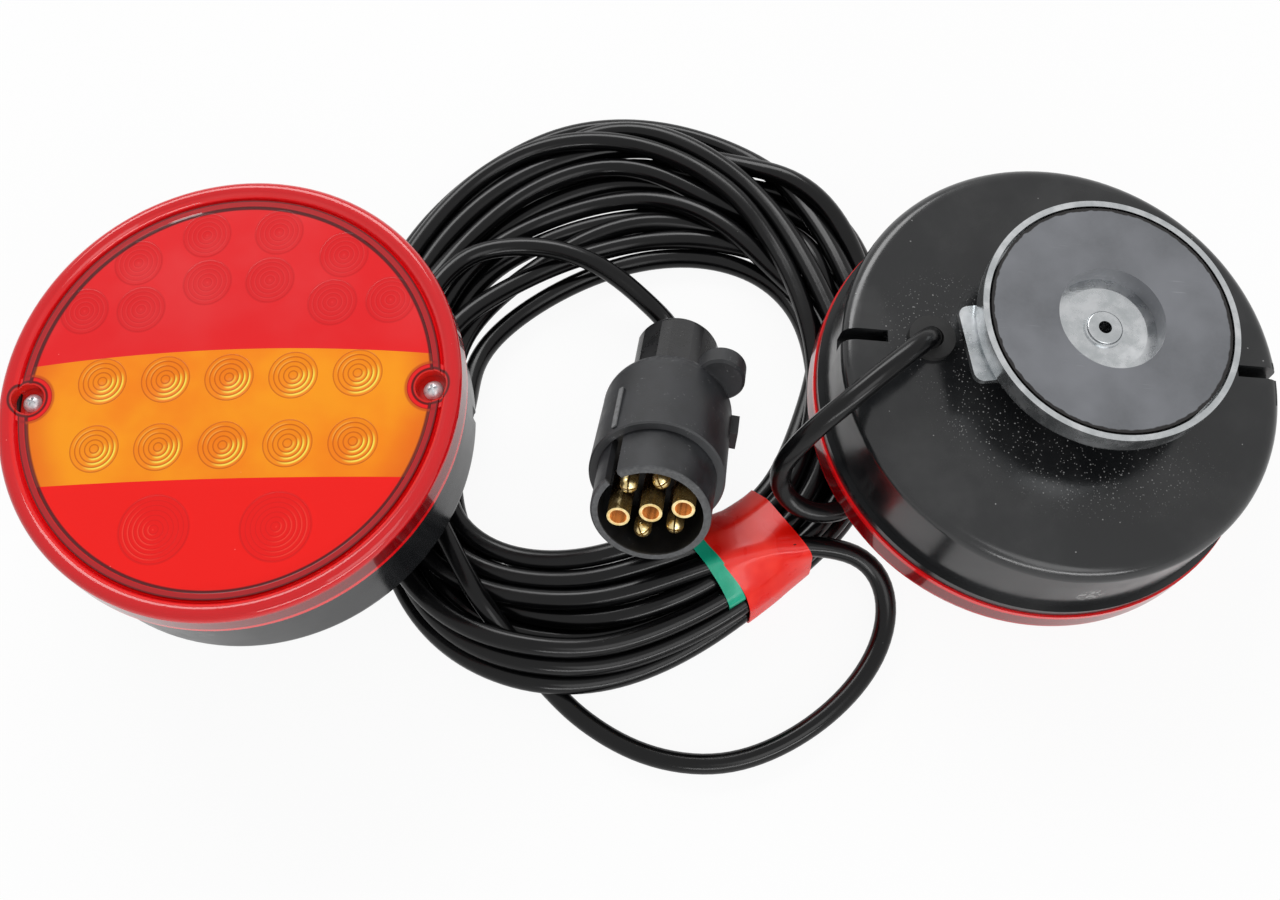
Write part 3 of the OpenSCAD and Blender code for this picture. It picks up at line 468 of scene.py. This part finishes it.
points = np.vstack(cords)
free = 1 - np.r_[stays(cords[0], [plug_lead_route[:-2], left_plug_route[:-1]]),
                 stays(cords[1], [right_lead_route[:-2], loop_route, left_link_route[:-1]])]
spans = [(0, len(cords[0])), (len(cords[0]), len(points))]
for a, b in spans:
    smooth(points[a:b], np.maximum(free[a:b], 0.25), rounds=32)
lane_points = points.copy()
for settling in range(settling_rounds):
    ahead = np.vstack([np.gradient(points[a:b], axis=0) for a, b in spans])
    ahead /= np.linalg.norm(ahead, axis=1)[:, None]
    # Pairs of points that can touch, apart from those in the same bit of one strand
    if settling % search_every == 0:
        pairs = [[], []]
        for first in range(0, len(points), searched_at_once):
            some = points[first:first + searched_at_once, None, :]
            one, two = np.nonzero(((some - points[None]) ** 2).sum(2) < search_reach ** 2)
            one = one + first
            pairs[0].append(one[two > one + same_bit])
            pairs[1].append(two[two > one + same_bit])
        one, two = (np.concatenate(p) for p in pairs)
    # Strands that run alongside move apart sideways, and only where their points are level
    between = points[one] - points[two]
    alike = (ahead[one] * ahead[two]).sum(1)
    shared = ahead[one] + np.sign(alike)[:, None] * ahead[two]
    shared /= np.maximum(np.linalg.norm(shared, axis=1), 1e-9)[:, None]
    past = (between * shared).sum(1)
    side_by_side = np.abs(alike) > alongside
    sideways = np.where(side_by_side[:, None], between - past[:, None] * shared, between)
    apart = np.maximum(np.linalg.norm(sideways, axis=1), 1e-6)
    close = (apart < cable_d) & (~side_by_side | (np.abs(past) < level))
    push = np.where(close, (cable_d - apart) / apart, 0)[:, None] * sideways
    both = np.maximum(free[one] + free[two], 1e-9)
    move, touches = np.zeros_like(points), np.zeros(len(points))
    np.add.at(move, one, push * (free[one] / both)[:, None])
    np.add.at(move, two, -push * (free[two] / both)[:, None])
    np.add.at(touches, one, close)
    np.add.at(touches, two, close)
    points += push_share * move / np.maximum(touches, 1)[:, None] ** 0.5
    shift = (points - lane_points) * (1 - pull_back * free)[:, None]
    for a, b in spans:
        smooth(shift[a:b], free[a:b], rounds=3)
    points = lane_points + shift
    points[:, 2] = np.maximum(points[:, 2], cable_d / 2)
for a, b in spans:
    smooth(points[a:b], np.maximum(free[a:b], 0.3), rounds=6)


def cable(name, line):
    """A round cord along a line, as a mesh with closed ends."""
    data = bpy.data.curves.new(name, "CURVE")
    data.dimensions = "3D"
    data.bevel_depth = cable_d / 2 * MM
    data.bevel_resolution = 5
    data.use_fill_caps = True
    data.resolution_u = 2
    way = data.splines.new("NURBS")
    way.points.add(len(line) - 1)
    way.points.foreach_set("co", np.c_[line * MM, np.ones(len(line))].ravel())
    way.order_u = 4
    way.use_endpoint_u = True
    way.use_smooth = True
    cord = bpy.data.objects.new(name, data)
    bpy.context.scene.collection.objects.link(cord)
    bpy.ops.object.select_all(action="DESELECT")
    bpy.context.view_layer.objects.active = cord
    cord.select_set(True)
    bpy.ops.object.convert(target="MESH")
    bpy.ops.object.shade_smooth_by_angle(angle=radians(50))
    return bpy.context.object


def length_of(line):
    """Length in metres."""
    return float(np.linalg.norm(np.diff(line, axis=0), axis=1).sum()) * MM


# The plug's cord begins at the left lamp, and the link at the right lamp
plug_line = points[slice(*spans[0])][::-1]
link_line = points[slice(*spans[1])]
cable_plug = cable("cable_plug", plug_line[::2])
cable_link = cable("cable_link", link_line[::2])
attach(cable_plug, "root")
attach(cable_link, "root")
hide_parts("plug_lead", "left_plug_lead")
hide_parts("left_link_lead", "loose_loop", "right_lead", "cable_coil")
plug_line[0] * MM
length_of(plug_line)
[tuple(q) for q in plug_line * MM]
link_line[0] * MM
length_of(link_line)
[tuple(q) for q in link_line * MM]

sheath = Finish("cable_sheath", Specular_IOR_Level=0.3)
grime = sheath.noise(14, 3)
dust = sheath.specks(4, 0.2, 0.25) * sheath.noise(22).step(0.45, 0.6)
sheath.wear(
    Base_Color=sheath.painted(sheath.blend(grime, colour(5, 5, 6), colour(12, 12, 13)),
                              (dust * 0.4, (120, 120, 118))),
    Roughness=grime.step(0.3, 0.7, 0.16, 0.25) + dust * 0.3,
    Normal=sheath.bump(sheath.noise(2.2), 0.012)).on(cable_plug, cable_link)

# Two bands of PVC tape hold the coil together. Each goes round all the strands and lies
# flat from one strand to the next, so its section is the strands' hull.

tape_gap = 0.25
tape_thick = 0.45
tape_lowest = 0.05
coil_reach = 26


def crossings(station, left_out):
    """Outward place and height of each strand in the coil's section, from the inside out. As
    many as left_out says, the outermost ones, are left out."""
    middle, out = coil_middle(station), coil_outward(station)
    along = np.array([-out[1], out[0]])
    found = []
    for a, b in spans:
        line = points[a:b]
        flat = line[:, :2] - middle
        ahead, side = flat @ along, flat @ out
        crosses = ahead[:-1] * ahead[1:] <= 0
        for k in np.nonzero(crosses & (np.abs(side[:-1]) < coil_reach))[0]:
            t = ahead[k] / (ahead[k] - ahead[k + 1] + 1e-9)
            height = line[k, 2] + t * (line[k + 1, 2] - line[k, 2])
            if height < coil_reach:
                found.append((side[k] + t * (side[k + 1] - side[k]), height))
    found.sort(key=lambda place: place[0] - 0.3 * place[1])
    return np.array(found[:len(found) - left_out])


def hull(flat_points):
    """Corners of the convex hull, anticlockwise."""
    ordered = sorted(map(tuple, flat_points))
    half = []
    for run in (ordered, ordered[::-1]):
        chain = []
        for q in run:
            while len(chain) > 1 and ((chain[-1][0] - chain[-2][0]) * (q[1] - chain[-2][1])
                                      - (chain[-1][1] - chain[-2][1]) * (q[0] - chain[-2][0])) <= 0:
                chain.pop()
            chain.append(q)
        half += chain[:-1]
    return np.array(half)


def tape_section(station, sides, grow, left_out):
    """The strands' hull at a station, as points at even angles about its middle."""
    cable_sides = 24
    circle = [np.array([cos(t), sin(t)]) for t in np.linspace(0, 2 * pi, cable_sides, endpoint=False)]
    strands = crossings(station, left_out)
    edge = hull([middle + (cable_d / 2 + grow) * way for middle in strands for way in circle])
    edge[:, 1] = np.maximum(edge[:, 1], tape_lowest)
    centre = (edge.min(0) + edge.max(0)) / 2
    closed = np.vstack([edge, edge[:1]])
    section = []
    for turn in np.linspace(0, 2 * pi, sides, endpoint=False):
        ray = np.array([cos(turn), sin(turn)])
        for p, q in zip(closed[:-1] - centre, closed[1:] - centre):
            span = q - p
            cross = ray[0] * span[1] - ray[1] * span[0]
            if abs(cross) > 1e-9:
                reach = (p[0] * span[1] - p[1] * span[0]) / cross
                share = (p[0] * ray[1] - p[1] * ray[0]) / cross
                if reach > 0 and -1e-6 <= share <= 1 + 1e-6:
                    section.append(centre + reach * ray)
                    break
    return np.array(section)


def tape_band(name, first, last, left_out):
    """A band of tape between two edges, each given by its stations inside and outside."""
    sides, rows, section_count, margin = 96, 16, 12, 0.06
    low, high = min(first) - margin, max(last) + margin
    mesh = bmesh.new()
    skins = []
    for grow in (tape_gap + tape_thick, tape_gap):
        sections = np.array([tape_section(s, sides, grow, left_out)
                             for s in np.linspace(low, high, section_count)])
        for smoothing in range(2):
            sections[1:-1] = 0.5 * sections[1:-1] + 0.25 * (sections[:-2] + sections[2:])
        skin = []
        for across in np.linspace(0, 1, rows):
            ring = []
            for k in range(sides):
                outer = (1 + cos(2 * pi * k / sides)) / 2
                edges = [edge[0] + (edge[1] - edge[0]) * outer for edge in (first, last)]
                here = edges[0] + (edges[1] - edges[0]) * across
                f = (here - low) / (high - low) * (section_count - 1)
                i = min(max(int(f), 0), section_count - 2)
                q = sections[i, k] * (1 - (f - i)) + sections[i + 1, k] * (f - i)
                flat = coil_middle(here) + q[0] * coil_outward(here)
                ring.append(mesh.verts.new((*(flat * MM), max(q[1], tape_lowest) * MM)))
            skin.append(ring)
        skins.append(skin)
    outside, inside = skins
    for k in range(sides):
        n = (k + 1) % sides
        for r in range(rows - 1):
            mesh.faces.new((outside[r][k], outside[r][n], outside[r + 1][n], outside[r + 1][k]))
            mesh.faces.new((inside[r][k], inside[r + 1][k], inside[r + 1][n], inside[r][n]))
        mesh.faces.new((outside[0][k], inside[0][k], inside[0][n], outside[0][n]))
        mesh.faces.new((outside[-1][k], outside[-1][n], inside[-1][n], inside[-1][k]))
    bmesh.ops.recalc_face_normals(mesh, faces=mesh.faces)
    data = bpy.data.meshes.new(name)
    mesh.to_mesh(data)
    band = bpy.data.objects.new(name, data)
    bpy.context.scene.collection.objects.link(band)
    bpy.ops.object.select_all(action="DESELECT")
    bpy.context.view_layer.objects.active = band
    band.select_set(True)
    bpy.ops.object.shade_smooth_by_angle(angle=radians(30))
    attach(band, "root")
    return band


red_band = tape_band("red_band", (8.22, 8.6), (9.4, 9.4), left_out=0)
green_band = tape_band("green_band", (8.0, 8.36), (8.21, 8.59), left_out=2)
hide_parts("tape_red")
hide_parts("tape_green")

for band, name, deep, pale in ((red_band, "red_tape", (238, 22, 12), (252, 54, 40)),
                               (green_band, "green_tape", (16, 162, 126), (36, 184, 150))):
    film = Finish(name, Coat_Weight=0.1, Coat_Roughness=0.08, Specular_IOR_Level=0.25)
    folds = film.noise(9, stretch=(1, 0.35, 1))
    scuff = film.specks(3.5, 0.35, 0.25) * film.noise(12).step(0.5, 0.6)
    film.wear(
        Base_Color=film.painted(film.blend(folds.step(0.35, 0.7), colour(*deep), colour(*pale)),
                                (scuff * 0.6, (240, 190, 180))),
        Roughness=folds.step(0.3, 0.7, 0.22, 0.4),
        Normal=film.bump(folds + film.noise(2.5) * 0.15, 0.16)).on(band)

# Each lamp has a black moulded pot with a satin skin. Its back plate rounds into the wall,
# and dust and small scuffs have settled round the magnet.

rim_z = 62.5
cup_r = 38.5
magnet_at = (-6.7, 4.55)
dust_at = (-6.7, 4.5)
grommet_at = (37, 8)
rub_at = (-8.9, 38)
centre = (0, 0)

# The left lamp leans on the edge of its magnet, and the right one on its lens
left_at = (-117.55, 6.8)
left_tilt = radians(4)
left_turn = radians(6.3)
left_lift = (cup_r - magnet_at[0] * cos(left_turn)) * sin(left_tilt)
left_lamp = (Matrix.Translation((*left_at, left_lift)) @ Matrix.Rotation(-left_tilt, 4, "Y")
             @ Matrix.Rotation(-left_turn, 4, "Z"))
right_at = (118.75, -6.8)
right_tilt = radians(10)
right_turn = radians(7)
bead_at = 67.2
bead_r = 2.8
right_lift = bead_at * sin(right_tilt) + bead_r * (1 - cos(right_tilt))
right_lamp = (Matrix.Translation((*right_at, right_lift)) @ Matrix.Rotation(right_tilt, 4, "Y")
              @ Matrix.Rotation(-right_turn, 4, "Z") @ Matrix.Translation((0, 0, rim_z))
              @ Matrix.Rotation(pi, 4, "Y"))
# Each lamp's own z is 0 at the magnet's face and rises to the lens
lamps = {"left": left_lamp, "right": right_lamp}


def nearest(x, y, *places):
    """Distance to the nearest of the places."""
    best = None
    for place_x, place_y in places:
        dx, dy = x - place_x, y - place_y
        away = (dx * dx + dy * dy) ** 0.5
        best = away if best is None else best.least(away)
    return best


for side, pose in lamps.items():
    pot = Finish(side + "_pot", pose, Specular_IOR_Level=0.6)
    x, y, z = pot.parts()
    back = z.step(26, 23)
    round_magnet = nearest(x, y, dust_at).step(58, 40) * (x * 0.6 - y).step(-10, 25)
    round_grommet = nearest(x, y, grommet_at).step(22, 8)
    settled = (round_magnet + round_grommet).least(1.0) * pot.noise(16, 3).step(0.26, 0.5)
    dust = (pot.specks(1.8, 0.3, 0.9) * settled + pot.specks(1.0, 0.22, 0.9) * settled * 0.8
            + pot.specks(4.5, 0.3, 0.35) * 0.8).least(1.0) * back
    film = pot.noise(34, 4, 0.6).step(0.45, 0.75) * back * 0.04
    rub = (nearest(x, z, rub_at) ** 2).step(30, 6) * (y < 0)
    scuff = rub * pot.noise(1.6, 3, 0.7).step(0.42, 0.6) * (0.6 if side == "right" else 0.2)
    rubbed = (dust * 0.8 + film + scuff).least(1.0)
    pot.wear(
        Base_Color=pot.painted(pot.blend(pot.noise(40), colour(20, 21, 22), colour(28, 29, 31)),
                               (rubbed, (176, 176, 175))),
        Roughness=pot.noise(9, 3).step(0.3, 0.7, 0.17, 0.25) + rubbed * 0.3,
        Normal=pot.bump(pot.noise(0.9), 0.008)).on(side + "_rear_housing")

# The lens is moulded in two shots, red and amber, in one glossy piece. Saw-toothed rings
# under its face gather the light of each diode, and show through as fine circles.

ring_step = 1.5
red_optics = ((11.3, 52.5), (32, 44), (9.7, 36.5), (47.2, 28.4), (29.5, 28.3))
red_optic_r = 7.4
brake_optic = (18, -42)
brake_optic_r = 10.5
amber_step = 19.4
amber_reach = amber_step * 2.5
amber_rows = (5.0, -16.5)
amber_optic_r = 7.5
screw_at = (61, 0)
screw_hole_r = 5.6
screw_boss_r = 7.4

for side, pose in lamps.items():
    red = Finish(side + "_red_lens", pose, Roughness=0.2, Coat_Roughness=0.03, Specular_IOR_Level=0.15)
    x, y, z = red.parts()
    r = nearest(x, y, centre)
    small = nearest(x.size(), y, *red_optics)
    brake = nearest(x.size(), y, brake_optic)
    hole = nearest(x.size(), y, screw_at)
    in_small, in_brake = small.inside(red_optic_r), brake.inside(brake_optic_r)
    rings = (small / ring_step).fraction() * in_small + (brake / ring_step).fraction() * in_brake
    edges = small.line(red_optic_r, 0.45, 0.1) + brake.line(brake_optic_r, 0.45, 0.1)
    brake_glint_side = ((x.size() - brake_optic[0]) * 0.8 - (y - brake_optic[1]) * 0.4) / (brake + 0.01)
    face = r.step(61.6, 61.2) * z.step(59, 60)
    skirt = r.step(67.0, 69.0) * z.step(60.5, 58.5)
    hazy = red.noise(30, 3)
    red.wear(
        Base_Color=red.painted(
            # Painted reflection: the face is paler and pinker towards the top, with paler patches over
            # its upper part
            red.blend(y.step(-34, 30), colour(246, 18, 10), colour(232, 24, 30)),
            (hazy.step(0.35, 0.7) * y.step(-10, 40) * 0.35, (236, 74, 76)),
            ((in_small * 0.3 + in_brake * 0.2) * face, (204, 6, 16)),
            ((rings.step(0.7, 1.0) * 0.22 + edges * 0.25).least(1.0) * face, (170, 6, 12)),
            # Painted glints: the brake optic's rings are lighter on the side towards the light, and
            # the small optics' ring edges are lighter too
            (in_brake * brake_glint_side.step(-0.1, 0.8) * rings.step(0.4, 0.05) * 0.45 * face, (255, 86, 66)),
            (in_small * rings.step(0.35, 0.05) * 0.2 * face, (250, 84, 84)),
            # The rim: a groove in painted shade, a darker step, a finer groove in painted shade, a
            # painted highlight line before the bead, the bead, then the skirt in painted shade with a
            # painted glow along its lower edge
            (r.band(60.4, 60.9, 61.5, 61.9), (92, 2, 8)),
            (r.band(61.6, 62.0, 63.0, 63.4), (176, 10, 20)),
            (r.band(63.0, 63.3, 63.6, 64.0), (104, 2, 8)),
            (r.band(63.8, 64.2, 64.9, 65.4), (240, 26, 32)),
            (r.step(65.2, 66.2) * z.step(55, 57), (212, 10, 20)),
            (skirt, (126, 4, 10)),
            (skirt * z.step(53.6, 52.8), (236, 18, 24)),
            # The wells of the two screws, their rims and the rings round their bosses darkened as
            # painted shade
            (hole.step(screw_hole_r - 0.2, screw_hole_r - 0.7), (214, 34, 26)),
            (hole.line(screw_hole_r, 0.6, 0.15) * z.step(58, 60), (96, 4, 6)),
            (hole.line(screw_boss_r, 0.7, 0.2) * r.step(64, 62) * 0.7, (150, 8, 12)),
            (red.specks(6, 0.22, 0.16) * z.step(55, 57) * 0.6, (255, 150, 140))),
        Coat_Weight=r.step(60.5, 61.5, 0.3, 0.7),
        Normal=red.bump(rings * 0.12 + hazy * 0.3, 0.3)).on(side + "_lens_red")

    amber = Finish(side + "_amber_lens", pose, Roughness=0.2, Coat_Roughness=0.03,
                   Specular_IOR_Level=0.15)
    x, y, z = amber.parts()
    r = nearest(x, y, centre)
    hole = nearest(x.size(), y, screw_at)
    column = (((x + amber_reach) / amber_step).fraction() - 0.5) * amber_step
    upper = y > sum(amber_rows) / 2
    row = y - (upper * (amber_rows[0] - amber_rows[1]) + amber_rows[1])
    optic = nearest(column, row, centre)
    within = optic.inside(amber_optic_r) * (x.size() < amber_reach)
    rings = (optic / ring_step).fraction()
    glint_side = ((column - row) / (optic + 0.01)).step(0.3, 1.2)
    away = ((row - column) / (optic + 0.01)).step(0.9, 1.4)
    hazy = amber.noise(24, 3)
    amber.wear(
        Base_Color=amber.painted(
            amber.blend(hazy.step(0.3, 0.7), colour(250, 132, 2), colour(255, 156, 10)),
            (r.step(50, 61) * 0.6, (232, 96, 10)),
            (within * 0.35, (240, 120, 0)),
            (within * rings.step(0.6, 0.95) * 0.8, (200, 82, 0)),
            # Painted glints: yellow on the rings' side towards the light, and paler arcs on the far
            # side
            (within * glint_side * rings.step(0.55, 0.15) * optic.step(1.2, 2.4), (255, 232, 84)),
            (within * away * rings.step(0.4, 0.1) * optic.step(3.5, 5) * 0.5, (255, 196, 90)),
            # Painted shade darkens the amber where it meets the rim, and in a ring round each screw
            # boss
            (r.step(60.2, 60.9), (120, 26, 4)),
            (hole.line(screw_boss_r, 0.9, 0.2) * 0.7, (190, 62, 8)),
            (amber.specks(6, 0.2, 0.14) * 0.5, (255, 232, 190))),
        Coat_Weight=r.step(60.5, 61.5, 0.3, 1.0),
        Normal=amber.bump(within * rings * 0.4 + hazy * 0.3, 0.3)).on(side + "_lens_amber")

# Zinc-plated steel carries the magnet: a pot with a ferrite ring, held to its strip by a
# hollow rivet. The lens screws are zinc plated too.

ferrite_r = 35

for side, pose in lamps.items():
    zinc = Finish(side + "_zinc", pose, Metallic=1.0)
    bloom = zinc.noise(7, 4, 0.6)
    brushed = zinc.noise(3, 3, stretch=(1, 6, 1))
    zinc.wear(
        Base_Color=zinc.blend(bloom.step(0.35, 0.7), colour(190, 194, 196), colour(218, 220, 222)),
        Roughness=bloom.step(0.3, 0.7, 0.18, 0.34),
        Normal=zinc.bump(brushed + bloom, 0.03)).on(
            side + "_magnet_cup", side + "_magnet_bracket", side + "_magnet_rivet")
    bright = Finish(side + "_screws", pose, Metallic=0.35)
    dull = bright.noise(1.4, 3)
    bright.wear(
        Base_Color=bright.blend(dull.step(0.35, 0.65), colour(206, 210, 214), colour(238, 240, 242)),
        Roughness=dull.step(0.3, 0.7, 0.25, 0.4),
        Normal=bright.bump(dull, 0.03)).on(
            side + "_lens_screws", side + "_bracket_screws", side + "_board_screws")
    ferrite = Finish(side + "_ferrite", pose)
    x, y, z = ferrite.parts()
    grain = ferrite.noise(1.2, 4, 0.6)
    cloudy = ferrite.noise(26, 3)
    marks = ferrite.noise(3, stretch=(0.25, 5, 1)).step(0.66, 0.74) * ferrite.noise(20).step(0.45, 0.6)
    # A dark ragged line of painted shade fills the gap between the ring and the cup
    gap_shade = nearest(x, y, magnet_at) + (ferrite.noise(2.5, 3) - 0.5) * 1.2
    ferrite.wear(
        Base_Color=ferrite.painted(
            ferrite.blend(grain, colour(94, 96, 100), colour(108, 110, 114)),
            (cloudy.step(0.3, 0.7), (122, 124, 129)),
            (marks * 0.3, (170, 172, 176)),
            (gap_shade.step(ferrite_r, ferrite_r + 0.3), (14, 11, 11))),
        Roughness=grain.step(0.3, 0.7, 0.36, 0.52),
        Normal=ferrite.bump(grain, 0.02)).on(side + "_magnet_ring")

# Soft black rubber seals the cords where they enter, and lies as a gasket under each lens.
# The lenses hide a green fibreglass board with its diodes, which sit in tinted epoxy.

rubber = Finish("rubber")
rubber.wear(
    Base_Color=rubber.blend(rubber.noise(5, 3), colour(24, 24, 24), colour(40, 40, 40)),
    Roughness=rubber.noise(3).step(0.3, 0.7, 0.45, 0.6),
    Normal=rubber.bump(rubber.noise(0.8), 0.02)).on(
        "left_cable_grommet", "right_cable_grommet", "left_plug_grommet",
        "left_lens_gasket", "right_lens_gasket", "plug_seal")
board = Finish("board")
board.wear(
    Base_Color=board.blend(board.noise(6, 4), colour(20, 84, 40), colour(34, 110, 58)),
    Roughness=board.noise(2).step(0.3, 0.7, 0.35, 0.5)).on("left_led_board", "right_led_board")
for name, low, high in (("red", (190, 40, 40), (226, 80, 76)),
                        ("amber", (232, 160, 60), (248, 196, 100))):
    epoxy = Finish(name + "_epoxy", Coat_Weight=0.5)
    epoxy.wear(
        Base_Color=epoxy.blend(epoxy.noise(3), colour(*low), colour(*high)),
        Roughness=epoxy.noise(2).step(0.3, 0.7, 0.15, 0.3)).on(
            "left_leds_" + name, "right_leds_" + name)

# The plug is moulded in black thermoplastic and worn grey at its edges. Four split pins
# and three tubes of brass stand in its keyed skirt.

plug_at = (-1.85, -41.3, 53.2)
plug_turn = radians(-11.8)
plug_tilt = radians(60)
plug_pose = (Matrix.Translation(plug_at) @ Matrix.Rotation(plug_turn, 4, "Z")
             @ Matrix.Rotation(plug_tilt, 4, "X"))
insert_r = 15.5
shoulder_z = -53
nose_z = -17.7
rib_turn = radians(129)
tube_circle_r = 9.8
tube_r = 3.0
tubes_at = [centre] + [(tube_circle_r * cos(radians(turn)), tube_circle_r * sin(radians(turn)))
                       for turn in (15, 195)]

for name in ("plug_shell", "plug_insert", "plug_cap_nut"):
    glossy = name == "plug_cap_nut"
    shell = Finish(name + "_plastic", plug_pose, Specular_IOR_Level=0.6 if glossy else 0.45)
    x, y, z = shell.parts()
    r = nearest(x, y, centre)
    cloud = shell.noise(9, 4, 0.6)
    fine = shell.noise(1.3, 4, 0.7)
    scuffs = fine.step(0.6, 0.7) * shell.noise(7).step(0.52, 0.62)
    rubbed = scuffs * 0.35 + shell.specks(2.6, 0.16, 0.3) * 0.5
    if name == "plug_shell":
        shoulder = z.line(shoulder_z, 5, 1) * r.step(21, 20) * fine.step(0.45, 0.65)
        rib = (y * sin(rib_turn) + x * cos(rib_turn)).step(20.7, 20.9)
        rubbed = (rubbed + shoulder * 0.2 + z.line(nose_z, 0.6, 0.2) * 0.1
                  + rib * fine.step(0.2, 0.6, 0.3, 0.6))
    dark, pale = ((12, 12, 13), (20, 20, 22)) if glossy else ((30, 31, 33), (44, 45, 48))
    tone = shell.blend(cloud.step(0.3, 0.7), colour(*dark), colour(*pale))
    if name == "plug_insert":
        edge = z.step(-1.0, -0.2) * r.step(insert_r - 0.3, insert_r + 0.1)
        rubbed = rubbed + edge * fine.step(0.2, 0.8, 0.12, 0.34)
        tone = shell.painted(tone, (r.step(insert_r + 0.2, insert_r - 0.2), (6, 6, 6)))
    smoothest, roughest = (0.24, 0.32) if glossy else (0.38, 0.5)
    shell.wear(
        Base_Color=shell.painted(tone, (rubbed.least(1.0), (150, 151, 152))),
        Roughness=cloud.step(0.3, 0.7, smoothest, roughest),
        Normal=shell.bump(shell.noise(0.7, 3) + cloud, 0.02)).on(name)

# Painted light: near their mouths the pins and tubes glow faintly, and the tubes' bores glow orange in
# streaks, standing in for the brass mirroring itself
for name, glow in (("plug_pins", 0.0), ("plug_tubes", 1.0)):
    brass = Finish(name + "_brass", plug_pose, Metallic=1.0, Emission_Strength=1.0)
    x, y, z = brass.parts()
    tarnish = brass.noise(2, 3)
    glow_streaks = brass.noise(1.3, stretch=(1, 1, 0.05)).step(0.36, 0.6, 0.3, 1.0)
    bore_glow = nearest(x, y, *tubes_at).step(tube_r, tube_r - 0.15) * z.step(-12, -1.2, 0.15, 1.0) * glow
    brass.wear(
        Base_Color=brass.painted(
            brass.blend(tarnish.step(0.3, 0.7), colour(222, 196, 132), colour(250, 232, 178)),
            (z.step(-4, -12), (150, 110, 56))),
        Roughness=tarnish.step(0.3, 0.7, 0.2, 0.34),
        Emission_Color=brass.painted(
            (0, 0, 0), (z.step(-9, -2), (52, 40, 20)), (bore_glow * glow_streaks, (160, 94, 46)))).on(name)
